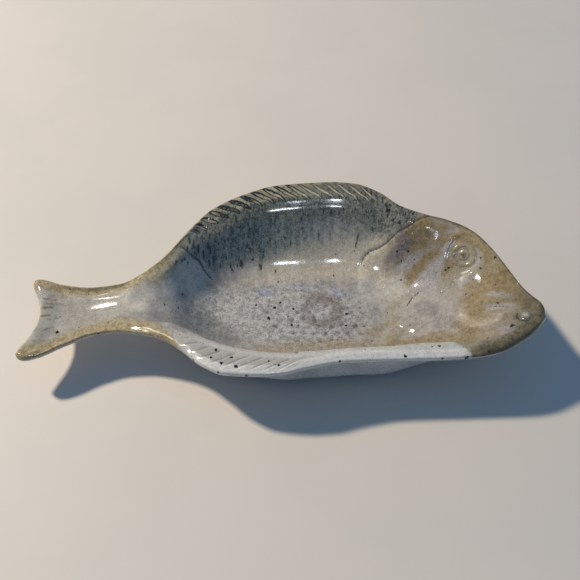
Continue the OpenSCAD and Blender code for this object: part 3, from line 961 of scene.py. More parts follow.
class Shade:
    """A shader socket on which Python's operators add Math nodes."""

    def __init__(self, graph: "Graph", socket: bpy.types.NodeSocket) -> None:
        """Wrap a socket of a graph."""
        self.graph, self.socket = graph, socket

    def _math(self, operation: str, *values: "Value") -> "Shade":
        """Add a Math node over some values."""
        return self.graph.node("ShaderNodeMath", {"operation": operation}, dict(enumerate(values)))

    def __add__(self, other: "Value") -> "Shade":
        """Add."""
        return self._math("ADD", self, other)

    def __radd__(self, other: "Value") -> "Shade":
        """Add to a number."""
        return self._math("ADD", other, self)

    def __sub__(self, other: "Value") -> "Shade":
        """Subtract."""
        return self._math("SUBTRACT", self, other)

    def __rsub__(self, other: "Value") -> "Shade":
        """Subtract from a number."""
        return self._math("SUBTRACT", other, self)

    def __mul__(self, other: "Value") -> "Shade":
        """Multiply."""
        return self._math("MULTIPLY", self, other)

    def __rmul__(self, other: "Value") -> "Shade":
        """Multiply a number."""
        return self._math("MULTIPLY", other, self)

    def __truediv__(self, other: "Value") -> "Shade":
        """Divide."""
        return self._math("DIVIDE", self, other)

    def __pow__(self, other: "Value") -> "Shade":
        """Raise to a power."""
        return self._math("POWER", self, other)

    def __abs__(self) -> "Shade":
        """Drop the sign."""
        return self._math("ABSOLUTE", self)

    def sine(self) -> "Shade":
        """Take the sine."""
        return self._math("SINE", self)

    def floor(self) -> "Shade":
        """Round down."""
        return self._math("FLOOR", self)

    def highest(self, other: "Value") -> "Shade":
        """Keep the higher of two."""
        return self._math("MAXIMUM", self, other)

    def ramp(self, low: "Value", high: "Value") -> "Shade":
        """Rise smoothly from 0 at low to 1 at high."""
        return self.graph.node("ShaderNodeMapRange", {"interpolation_type": "SMOOTHSTEP"},
                               {"Value": self, "From Min": low, "From Max": high})


Value = Union[Shade, float]


class Graph:
    """A material's node tree."""

    def __init__(self, name: str) -> None:
        """Start an empty material."""
        self.material = bpy.data.materials.new(name)
        self.material.use_nodes = True
        self.tree = self.material.node_tree
        self.tree.nodes.clear()
        self._kept: dict[Any, Shade] = {}

    def node(self, kind: str, settings: dict[str, Any], sockets: dict[Any, Any], out: Any = 0) -> Shade:
        """Add any node.

        Args:
            kind: The node's type.
            settings: Its own settings, set first.
            sockets: Values or links for its sockets, by name or number.
            out: The output wanted.

        Returns:
            That output, wrapped.
        """
        made = self.tree.nodes.new(kind)
        for key, value in settings.items():
            setattr(made, key, value)
        for key, value in sockets.items():
            if isinstance(value, Shade):
                self.tree.links.new(value.socket, made.inputs[key])
            else:
                made.inputs[key].default_value = value
        return Shade(self, made.outputs[out])

    def place(self) -> Shade:
        """Give the Object coordinates."""
        if "place" not in self._kept:
            self._kept["place"] = self.node("ShaderNodeTexCoord", {}, {}, "Object")
        return self._kept["place"]

    def mark(self, name: str) -> Shade:
        """Read one of the piece's own marks."""
        if name not in self._kept:
            self._kept[name] = self.node("ShaderNodeAttribute", {"attribute_name": name}, {}, "Fac")
        return self._kept[name]

    def noise(self, size: float, detail: float = 4.0, vector: Union[Shade, None] = None,
              rough: float = 0.55) -> Shade:
        """Lay noise from 0 to 1.

        Args:
            size: The size of its lumps, in millimetres or in the vector's own units.
            detail: How many finer layers it has.
            vector: What it follows, if not the piece's own place.
            rough: How strong the finer layers are.

        Returns:
            The noise.
        """
        spot = vector if vector is not None else self.place()
        scale = 1 / size if vector is not None else 1 / (size * MM)
        raw = self.node("ShaderNodeTexNoise", {},
                        {"Vector": spot, "Scale": scale, "Detail": detail, "Roughness": rough})
        return self.node("ShaderNodeMapRange", {}, {"Value": raw, "From Min": 0.28, "From Max": 0.72})

    def vector(self, x: Value, y: Value, z: Value) -> Shade:
        """Join three values into a vector."""
        return self.node("ShaderNodeCombineXYZ", {}, {"X": x, "Y": y, "Z": z})

    def mix(self, share: Value, under: Any, over: Any) -> Shade:
        """Lay one colour over another by a share."""
        return self.node("ShaderNodeMix", {"data_type": "RGBA"}, {0: share, 6: under, 7: over}, 2)

    def finish(self, colour: Shade, rough: Value, height: Union[Shade, None], bump: float,
               coat: Value) -> bpy.types.Material:
        """Join the glaze to the material's surface.

        Args:
            colour: The base colour.
            rough: The roughness.
            height: Fine heights for the bump, in millimetres.
            bump: The bump's strength.
            coat: How glassy the surface is.

        Returns:
            The material.
        """
        sockets: dict[str, Any] = {"Base Color": colour, "Roughness": rough, "IOR": 1.5,
                                   "Coat Weight": coat, "Coat Roughness": 0.04, "Coat IOR": 1.5}
        if height is not None:
            sockets["Normal"] = self.node("ShaderNodeBump", {},
                                          {"Strength": bump, "Distance": MM, "Height": height})
        surface = self.node("ShaderNodeBsdfPrincipled", {}, sockets)
        end = self.tree.nodes.new("ShaderNodeOutputMaterial")
        self.tree.links.new(surface.socket, end.inputs["Surface"])
        return self.material


def linear(level: float) -> float:
    """Turn one level of 0 to 1 on screen into the renderer's own number."""
    return level / 12.92 if level <= 0.04045 else ((level + 0.055) / 1.055) ** 2.4


def rgba(colour: Colour) -> tuple[float, float, float, float]:
    """Turn a colour of 0 to 255 on screen into the renderer's own numbers."""
    return (*(linear(c / 255) for c in colour), 1.0)


def note(mesh: bpy.types.Mesh, name: str, values: Array) -> None:
    """Store a mark or a direction on a mesh's vertices."""
    kind, field_name = ("FLOAT_VECTOR", "vector") if values.ndim == 2 else ("FLOAT", "value")
    stored = mesh.attributes.new(name, kind, "POINT")
    stored.data.foreach_set(field_name, np.ascontiguousarray(values, np.float32).ravel())


def places(mesh: bpy.types.Mesh) -> Array:
    """Read where a mesh's vertices lie."""
    flat = np.empty(len(mesh.vertices) * 3)
    mesh.vertices.foreach_get("co", flat)
    return flat.reshape(-1, 3)


@dataclass(frozen=True)
class GlazePool:
    """One pool of glaze: the mark it follows, its colour and how its border breaks up."""

    mark: str
    colour: Colour
    pale: Colour
    grain: Grain = Grain.CLOUD
    size: float = 6.0
    ragged: float = 0.7
    soft: float = 0.35
    cover: float = 0.9


@dataclass(frozen=True)
class StonewareGlaze:
    """The dish's glossy, speckled glaze: a mottled ground under pools of colour."""

    slot: str
    ground: Colour = (172, 165, 153)
    shade: Colour = (146, 140, 134)
    back: Colour = (214, 210, 202)
    line: Colour = (44, 40, 38)
    iron: Colour = (40, 32, 28)
    pools: tuple[GlazePool, ...] = ()
    fin: Union[Side, None] = None
    flow: tuple[Flow, ...] = ()
    spots: tuple[Spot, ...] = ()

    FLECK: ClassVar[Colour] = (34, 38, 36)
    DRIP: ClassVar[Colour] = (32, 38, 40)
    DUST: ClassVar[Colour] = (98, 90, 82)
    BACK_SHADE: ClassVar[Colour] = (184, 181, 175)
    PALE_LEAF: ClassVar[Colour] = (188, 179, 154)
    LEAF_LINE: ClassVar[Colour] = (22, 24, 23)
    GROOVE: ClassVar[Colour] = (124, 120, 114)
    # the gap between scattered specks, their size, and the share of the places left empty
    SCATTER: ClassVar[tuple[Point, ...]] = ((3.0, 0.27, 0.5), (6.5, 0.5, 0.55), (12.0, 0.85, 0.6))

    def material(self) -> bpy.types.Material:
        """Build the glaze.

        Returns:
            Its material.
        """
        g = Graph(self.slot)
        broad, middle, fine = g.noise(11, 4), g.noise(3.2, 4, rough=0.7), g.noise(1.0, 2, rough=0.6)
        mottle = (broad * 0.35 + middle * 0.4 + fine * 0.25).ramp(0.25, 0.75)
        colour = g.mix(mottle, rgba(self.shade), rgba(self.ground))
        colour = self._pooled(g, colour, middle, fine)
        if Flow.FLECKS in self.flow:
            colour = self._flecked(g, colour, fine)
        if self.fin is Side.DORSAL:
            colour = self._leaves(g, colour)
        if self.fin is Side.BELLY:
            colour = self._grooves(g, colour)
        groove = (g.mark("groove") + fine * 0.5 - 0.25).ramp(0.45, 0.8)
        colour = g.mix(groove * 0.85, colour, rgba(self.line))
        dust = (g.noise(0.75, 1, rough=0.5) * 0.8 + middle * 0.2).ramp(0.72, 0.86)
        colour = g.mix(dust * 0.4, colour, rgba(self.DUST))
        back = g.mix((broad * 0.5 + fine * 0.5).ramp(0.3, 0.7), rgba(self.back), rgba(self.BACK_SHADE))
        colour = g.mix(g.mark("face"), back, colour)
        speck = self._specks(g)
        colour = g.mix(speck, colour, rgba(self.iron))
        height = g.noise(2.6, 2) * 0.06 - speck * 0.1
        if Flow.FLECKS in self.flow:
            height = height + g.mark("head") * g.noise(7, 1) * 0.9
        rough = 0.09 + fine * 0.06
        if Flow.MATT_EDGE in self.flow:
            rough = rough + g.mark("edge") * 0.25 + g.mark("matt") * 0.82
        return g.finish(colour, rough, height, 0.3, (1 - g.mark("matt")) * 0.2)

    def _pooled(self, g: Graph, colour: Shade, middle: Shade, fine: Shade) -> Shade:
        """Lay the pools over the ground, one after another.

        Args:
            g: The material's graph.
            colour: The ground.
            middle: The middle grain.
            fine: The fine grain.

        Returns:
            The colour with the pools on it.
        """
        run = g.vector(g.mark("run"), g.mark("fall") * 0.1, 0.0)
        streaked = any(pool.grain is Grain.STREAK for pool in self.pools)
        streak = g.noise(2.6, 4, run, 0.7) if streaked else fine
        for pool in self.pools:
            if pool.grain is Grain.STREAK:
                inner = (streak * 0.3 + middle * 0.36 + fine * 0.34).ramp(0.28, 0.72)
            else:
                inner = (middle * 0.6 + fine * 0.4).ramp(0.2, 0.8)
            tint = g.mix(inner, rgba(pool.colour), rgba(pool.pale))
            colour = g.mix(self._cover(g, pool, run), colour, tint)
        return colour

    def _flecked(self, g: Graph, colour: Shade, fine: Shade) -> Shade:
        """Scatter dark flecks that run down the wall, with the larger drips among them."""
        dash = g.vector(g.mark("run"), g.mark("fall") * 0.28, 0.0)
        fleck = (g.noise(1.4, 3, dash, 0.65) + (g.mark("fleck") - 1) * 0.4).ramp(0.54, 0.8)
        colour = g.mix(fleck * 0.85, colour, rgba(self.FLECK))
        drip = (g.mark("drip") + fine * 0.8 - 0.4).ramp(0.3, 0.8)
        return g.mix(drip * 0.85, colour, rgba(self.DRIP))

    def _cover(self, g: Graph, pool: GlazePool, run: Shade) -> Shade:
        """Break up a pool's border and give its share."""
        if pool.grain is Grain.STREAK:
            ragged = g.noise(pool.size, 4, run, 0.6) * 0.6 + g.noise(pool.size, 5, rough=0.75) * 0.4
        elif pool.grain is Grain.SPECKLE:
            ragged = g.noise(pool.size, 5, rough=0.8)
        else:
            ragged = g.noise(pool.size, 4)
        level = g.mark(pool.mark) + (ragged - 0.5) * pool.ragged
        return level.ramp(0.5 - pool.soft, 0.5 + pool.soft) * g.mark(pool.mark).ramp(0.0, 0.3) * pool.cover

    def _leaves(self, g: Graph, colour: Shade) -> Shade:
        """Outline the dorsal fin's leaf strokes in dark oxide, and leave pale strokes nearer the head.

        Args:
            g: The material's graph.
            colour: The fin's glaze.

        Returns:
            The colour with the strokes on it.
        """
        phase = g.mark("ray_d") + (g.noise(6, 2) - 0.5) * 0.16
        count = (phase + 0.5).floor()
        off = abs(phase - count) * Relief.dorsal_gap
        dice = g.node("ShaderNodeTexWhiteNoise", {"noise_dimensions": "1D"}, {"W": count + 0.37})
        blade = g.mark("blade_d")
        turn = (blade + Relief.LEAF_START).highest(0.0) * (math.pi / Relief.LEAF_LENGTH)
        wide = (turn.sine().highest(0.0) ** 0.7) * 2.4
        outline = 1 - (abs(off - wide * 0.8) - blade.highest(0.0) * 0.4).ramp(0.25, 0.95)
        stretch = blade.ramp(-Relief.LEAF_START, -0.2) * (1 - blade.ramp(0.88, 0.96))
        share = g.mark("along") / FishForm.length
        tail_end = 1 - share.ramp(0.5, 0.58)
        inside = 1 - (off - wide * (0.62 + tail_end * 0.38)).ramp(-0.9, 0.0)
        span = share.ramp(0.315, 0.325) * (1 - share.ramp(0.68, 0.71)) * stretch
        smear = g.noise(1.4, 2).ramp(0.2, 0.7)
        colour = g.mix(inside * span * (0.3 + (1 - tail_end) * 0.55), colour, rgba(self.PALE_LEAF))
        bold = share.ramp(0.36, 0.375) * (1 - share.ramp(0.435, 0.455))
        fill = (dice.ramp(0.1, 0.3) * bold).highest(blade.ramp(0.55, 0.85) * 0.5)
        filled = inside * fill * (0.65 + smear * 0.35)
        dark = (outline * (0.85 + smear * 0.15)).highest(filled) * span * (tail_end * 0.6 + 0.4)
        return g.mix(dark, colour, rgba(self.LEAF_LINE))

    def _grooves(self, g: Graph, colour: Shade) -> Shade:
        """Let grey oxide lie in the grooves of the anal fin."""
        phase = g.mark("ray_b") + (g.noise(6, 2) - 0.5) * 0.12
        off = abs(phase - (phase + 0.5).floor()) * Relief.anal_gap
        blade, share = g.mark("blade_b"), g.mark("along") / FishForm.length
        span = (share.ramp(0.31, 0.33) * (1 - share.ramp(0.5, 0.56))
                * blade.ramp(0.02, 0.15) * (1 - blade.ramp(0.6, 0.85)))
        return g.mix((1 - off.ramp(0.3, 1.5)) * span * 0.65, colour, rgba(self.GROOVE))

    def _specks(self, g: Graph) -> Shade:
        """Scatter iron specks of several sizes, and lay the larger ones in their places.

        Args:
            g: The material's graph.

        Returns:
            The share of iron at each point.
        """
        dots: list[Shade] = []
        for gap, size, few in self.SCATTER:
            where = {"Vector": g.place(), "Scale": 1 / (gap * MM), "Randomness": 1.0}
            cell = g.node("ShaderNodeTexVoronoi", {}, where, "Distance")
            chance = Shade(g, cell.socket.node.outputs["Color"])
            pick = g.node("ShaderNodeSeparateColor", {}, {"Color": chance}, "Red")
            away = cell * gap + (g.noise(0.8, 1) - 0.5) * size * 0.8
            dots.append((1 - away.ramp(size * 0.7, size * 1.1)) * pick.ramp(few, few + 0.02))
        frayed = g.noise(1.1, 1) - 0.5
        for x, y, z, size in self.spots:
            away = g.node("ShaderNodeVectorMath", {"operation": "DISTANCE"},
                          {0: g.place(), 1: (x * MM, y * MM, z * MM)}, "Value")
            dots.append(1 - (away * (1 / MM) + frayed * (size * 0.9)).ramp(size * 0.9, size * 1.35))
        return functools.reduce(Shade.highest, dots)


@dataclass(frozen=True)
class BareClay:
    """Fired stoneware without glaze, as on the foot."""

    slot: str = "bare_clay"
    light: Colour = (186, 168, 142)
    dark: Colour = (150, 130, 106)
    iron: Colour = (70, 54, 42)
    gap: float = 3.0

    def material(self) -> bpy.types.Material:
        """Build the clay.

        Returns:
            Its material.
        """
        g = Graph(self.slot)
        grit, cloud = g.noise(0.6, 4, rough=0.75), g.noise(7, 3)
        colour = g.mix((grit * 0.5 + cloud * 0.5).ramp(0.35, 0.65), rgba(self.dark), rgba(self.light))
        where = {"Vector": g.place(), "Scale": 1 / (self.gap * MM)}
        cell = g.node("ShaderNodeTexVoronoi", {}, where, "Distance")
        colour = g.mix(1 - cell.ramp(0.06, 0.11), colour, rgba(self.iron))
        return g.finish(colour, 0.78 + grit * 0.15, grit * 0.25, 0.5, 0.0)


@dataclass
class ClayPiece:
    """A piece cut from the sheet of clay: a block of cells, less the blocks of its neighbours."""

    node: str
    glaze: StonewareGlaze
    sheet: ClaySheet
    rows: tuple[int, int]
    columns: tuple[int, int]
    cut: tuple[tuple[int, int, int, int], ...] = ()
    scale: float = 1.0

    def build(self) -> bpy.types.Object:
        """Roll out the block, cut it, and pull it down to its thickness.

        Returns:
            The finished piece.
        """
        (r0, r1), (c0, c1) = self.rows, self.columns
        deep, wide = r1 - r0, c1 - c0
        bpy.ops.object.select_all(action="DESELECT")
        bpy.ops.mesh.primitive_grid_add(x_subdivisions=deep, y_subdivisions=wide, size=2)
        piece = bpy.context.object
        piece.name = piece.data.name = self.node + "_glazed"
        mesh = piece.data
        flat = places(mesh)
        i = r0 + np.rint((flat[:, 0] + 1) / 2 * deep).astype(int)
        j = c0 + np.rint((flat[:, 1] + 1) / 2 * wide).astype(int)
        unit_size = self.scale * MM
        mesh.vertices.foreach_set("co", (self.sheet.top[i, j] * unit_size).ravel())
        note(mesh, "under", self.sheet.under[i, j] * unit_size)
        for name, grid in self.sheet.marks.items():
            note(mesh, name, grid[i, j])
        note(mesh, "face", np.ones(len(i)))
        note(mesh, "top_normal", self.sheet.top_normal[i, j])
        note(mesh, "under_normal", self.sheet.under_normal[i, j])
        self._cut_away(mesh, i, j)
        bpy.ops.object.mode_set(mode="EDIT")
        bpy.ops.mesh.select_all(action="SELECT")
        bpy.ops.mesh.extrude_region()
        bpy.ops.object.mode_set(mode="OBJECT")
        self._smooth(mesh, self._pull_down(mesh))
        mesh.materials.append(self.glaze.material())
        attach(piece, ROOT)
        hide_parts(self.node)
        return piece

    def _cut_away(self, mesh: bpy.types.Mesh, i: Array, j: Array) -> None:
        """Take out the cells of the neighbours.

        Args:
            mesh: The rolled block.
            i: The station of each vertex.
            j: The column of each vertex.
        """
        if not self.cut:
            return
        corners = np.empty(len(mesh.polygons) * 4, int)
        mesh.polygons.foreach_get("vertices", corners)
        corners = corners.reshape(-1, 4)
        row, column = i[corners].min(1), j[corners].min(1)
        gone = np.zeros(len(row), bool)
        for r0, r1, c0, c1 in self.cut:
            gone |= (row >= r0) & (row < r1) & (column >= c0) & (column < c1)
        mesh.vertices.foreach_set("select", np.zeros(len(mesh.vertices), bool))
        mesh.edges.foreach_set("select", np.zeros(len(mesh.edges), bool))
        mesh.polygons.foreach_set("select", gone)
        bpy.ops.object.mode_set(mode="EDIT")
        bpy.ops.mesh.select_mode(type="FACE")
        bpy.ops.mesh.delete(type="FACE")
        bpy.ops.mesh.select_mode(type="VERT")
        bpy.ops.object.mode_set(mode="OBJECT")

    @staticmethod
    def _read(mesh: bpy.types.Mesh, name: str) -> Array:
        """Read a direction back from the vertices."""
        values = np.empty(len(mesh.vertices) * 3, np.float32)
        mesh.attributes[name].data.foreach_get("vector", values)
        return values.reshape(-1, 3)

    def _pull_down(self, mesh: bpy.types.Mesh) -> Array:
        """Move the extruded face to the underside.

        Args:
            mesh: The extruded block, with the new face selected.

        Returns:
            Which vertices lie on the underside.
        """
        low = np.empty(len(mesh.vertices), bool)
        mesh.vertices.foreach_get("select", low)
        place = places(mesh)
        place[low] = self._read(mesh, "under")[low]
        mesh.vertices.foreach_set("co", place.ravel())
        mesh.attributes["face"].data.foreach_set("value", np.where(low, 0, 1).astype(np.float32))
        mesh.update()
        return low

    def _smooth(self, mesh: bpy.types.Mesh, low: Array) -> None:
        """Face everything outwards and carry the clay's own normals over the seams.

        Args:
            mesh: The finished block.
            low: Which vertices lie on the underside.
        """
        bpy.ops.object.mode_set(mode="EDIT")
        bpy.ops.mesh.select_all(action="SELECT")
        bpy.ops.mesh.normals_make_consistent(inside=False)
        bpy.ops.object.mode_set(mode="OBJECT")
        bpy.ops.object.shade_smooth()
        corners = np.empty(len(mesh.loops), int)
        mesh.loops.foreach_get("vertex_index", corners)
        counts = np.empty(len(mesh.polygons), int)
        mesh.polygons.foreach_get("loop_total", counts)
        owner = np.repeat(np.arange(len(counts)), counts)
        lows = np.bincount(owner, low[corners], len(counts))
        kind = np.where(lows == 0, 0, np.where(lows == counts, 1, 2))[owner]
        flat = np.empty(len(mesh.polygons) * 3, np.float32)
        mesh.polygons.foreach_get("normal", flat)
        flat = flat.reshape(-1, 3)[owner]
        top = self._read(mesh, "top_normal")[corners]
        under = self._read(mesh, "under_normal")[corners]
        normals = np.where((kind == 0)[:, None], top, np.where((kind == 1)[:, None], under, flat))
        mesh.normals_split_custom_set(unit(normals).tolist())
        for name in ("under", "top_normal", "under_normal"):
            mesh.attributes.remove(mesh.attributes[name])


@dataclass
class Sprig:
    """A small piece of clay pressed on to the head: a ring or a button."""

    node: str
    glaze: StonewareGlaze
    ground: BVHTree
    ring: bool = False
    dent: float = 0.0
    low: float = 0.8
    high: float = 0.26

    SPREAD: ClassVar[float] = 1.05
    RING: ClassVar[tuple[float, float]] = (0.835, 0.165)
    LIFT: ClassVar[float] = 0.02

    def build(self) -> bpy.types.Object:
        """Shape the sprig and press it on to the face that carries it.

        Returns:
            The finished piece.
        """
        lo, hi = (Vector(c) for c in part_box(self.node))
        middle = (lo + hi) / 2
        _, normal, _, _ = self.ground.find_nearest(middle)
        turn = normal.to_track_quat("Z", "Y").to_matrix()
        size = max(hi.x - lo.x, hi.y - lo.y) / 2 * self.SPREAD
        bpy.ops.object.select_all(action="DESELECT")
        if self.ring:
            major, minor = self.RING
            bpy.ops.mesh.primitive_torus_add(major_radius=size * major, minor_radius=size * minor,
                                             major_segments=128, minor_segments=32)
        else:
            bpy.ops.mesh.primitive_uv_sphere_add(radius=size, segments=96, ring_count=48)
        piece = bpy.context.object
        piece.name = piece.data.name = self.node + "_glazed"
        mesh = piece.data
        place = places(mesh)
        around = np.arctan2(place[:, 1], place[:, 0])
        wobble = 1 + 0.025 * np.sin(2 * around + 0.6) + 0.02 * np.sin(3 * around + 2)
        place[:, :2] *= wobble[:, None]
        out = np.hypot(place[:, 0], place[:, 1]) / size
        if self.ring:
            place[:, 2] *= self.low
        else:
            place[:, 2] *= self.high
            hollow = self.dent * size * np.exp(-(out / 0.34) ** 2)
            place[:, 2] -= np.where(place[:, 2] > 0, hollow, 0)
        for k, p in enumerate(place):
            flat = middle + turn @ Vector((p[0], p[1], 0.0))
            hit, _, _, _ = self.ground.ray_cast(flat + normal * self.LIFT, -normal)
            base = hit if hit is not None else flat
            place[k] = base + normal * p[2]
        mesh.vertices.foreach_set("co", place.ravel())
        note(mesh, "face", np.ones(len(place)))
        note(mesh, "middle", np.exp(-(out / 0.5) ** 2))
        mesh.update()
        bpy.ops.object.shade_smooth()
        mesh.materials.append(self.glaze.material())
        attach(piece, ROOT)
        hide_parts(self.node)
        return piece


@dataclass
class FootRing:
    """The bare ring that the dish stands on."""

    node: str = "foot_ring"
    edge: float = 0.7

    def build(self) -> bpy.types.Object:
        """Copy the ring, merge it and soften its edges.

        Returns:
            The finished piece.
        """
        bpy.ops.object.select_all(action="DESELECT")
        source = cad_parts[self.node]
        piece = bpy.data.objects.new(self.node + "_clay", source.data.copy())
        bpy.context.collection.objects.link(piece)
        piece.data.materials.clear()
        piece.select_set(True)
        bpy.context.view_layer.objects.active = piece
        bpy.ops.object.mode_set(mode="EDIT")
        bpy.ops.mesh.select_all(action="SELECT")
        bpy.ops.mesh.remove_doubles(threshold=1e-6)
        bpy.ops.mesh.dissolve_limited(angle_limit=math.radians(1))
        bpy.ops.object.mode_set(mode="OBJECT")
        soft = piece.modifiers.new("soft_edge", "BEVEL")
        soft.width, soft.segments = self.edge * MM, 3
        soft.limit_method, soft.angle_limit = "ANGLE", math.radians(40)
        bpy.ops.object.modifier_apply(modifier=soft.name)
        bpy.ops.object.shade_smooth_by_angle(angle=math.radians(35))
        clay = BareClay()
        piece.data.materials.append(clay.material())
        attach(piece, ROOT)
        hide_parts(self.node)
        return piece


@dataclass
class Lamp:
    """A soft lamp, placed by its bearing from the dish."""

    name: str
    bearing: float
    lift: float
    away: float
    size: tuple[float, float]
    watts: float
    colour: tuple[float, float, float]
    fills: bool = True

    def build(self, target: Vector) -> bpy.types.Object:
        """Hang the lamp and aim it.

        Args:
            target: What it lights.

        Returns:
            The lamp.
        """
        light = bpy.data.lights.new(self.name, "AREA")
        light.shape, light.size, light.size_y = "RECTANGLE", self.size[0], self.size[1]
        light.energy, light.color = self.watts, self.colour
        lamp = bpy.data.objects.new(self.name, light)
        lamp.visible_diffuse = self.fills
        bpy.context.collection.objects.link(lamp)
        a, e = math.radians(self.bearing), math.radians(self.lift)
        way = Vector((math.sin(a) * math.cos(e), math.cos(a) * math.cos(e), math.sin(e)))
        lamp.location = target + way * self.away
        lamp.rotation_euler = way.to_track_quat("Z", "Y").to_euler()
        return lamp


@dataclass
class Stage:
    """The pale table, the lamps and the camera."""

    view: View = View()
    table: Colour = (213, 203, 191)
    cloud: Colour = (210, 201, 189)
    sky: tuple[float, float, float, float] = (0.33, 0.59, 1.0, 1.0)
    sky_strength: float = 0.35
    drop: float = 0.0002
    lamps: tuple[Lamp, ...] = field(default_factory=lambda: (
        Lamp("key_lamp", -64, 46, 2.2, (0.17, 0.17), 50.0, (1.0, 0.9, 0.75)),
        Lamp("window", 175.5, 55, 1.1, (0.14, 0.09), 1.6, (0.82, 0.92, 1.0), fills=False),
    ))

    def build(self) -> None:
        """Set the table, the light and the camera."""
        floor_z = CAD_BOX[0][2] - self.drop
        bpy.ops.object.select_all(action="DESELECT")
        bpy.ops.mesh.primitive_plane_add(size=8, location=(0, 0, floor_z))
        floor = bpy.context.object
        floor.name = "table"
        g = Graph("pale_table")
        colour = g.mix(g.noise(120, 3).ramp(0.3, 0.7), rgba(self.table), rgba(self.cloud))
        floor.data.materials.append(g.finish(colour, 0.55, None, 0.0, 0.0))
        for lamp in self.lamps:
            lamp.build(Vector(self.view.aim) * MM)
        world = bpy.data.worlds.new("pale_room")
        world.use_nodes = True
        back = world.node_tree.nodes["Background"]
        back.inputs["Color"].default_value = self.sky
        back.inputs["Strength"].default_value = self.sky_strength
        scene = bpy.context.scene
        scene.world = world
        scene.view_settings.view_transform = "Standard"
        camera = bpy.data.objects.new("camera", bpy.data.cameras.new("camera"))
        bpy.context.collection.objects.link(camera)
        camera.data.lens, camera.data.sensor_width = self.view.lens, self.view.sensor
        camera.location = Vector(self.view.eye()) * MM
        camera.rotation_euler = (math.pi / 2 - math.radians(self.view.pitch), 0.0, 0.0)
        scene.camera = camera


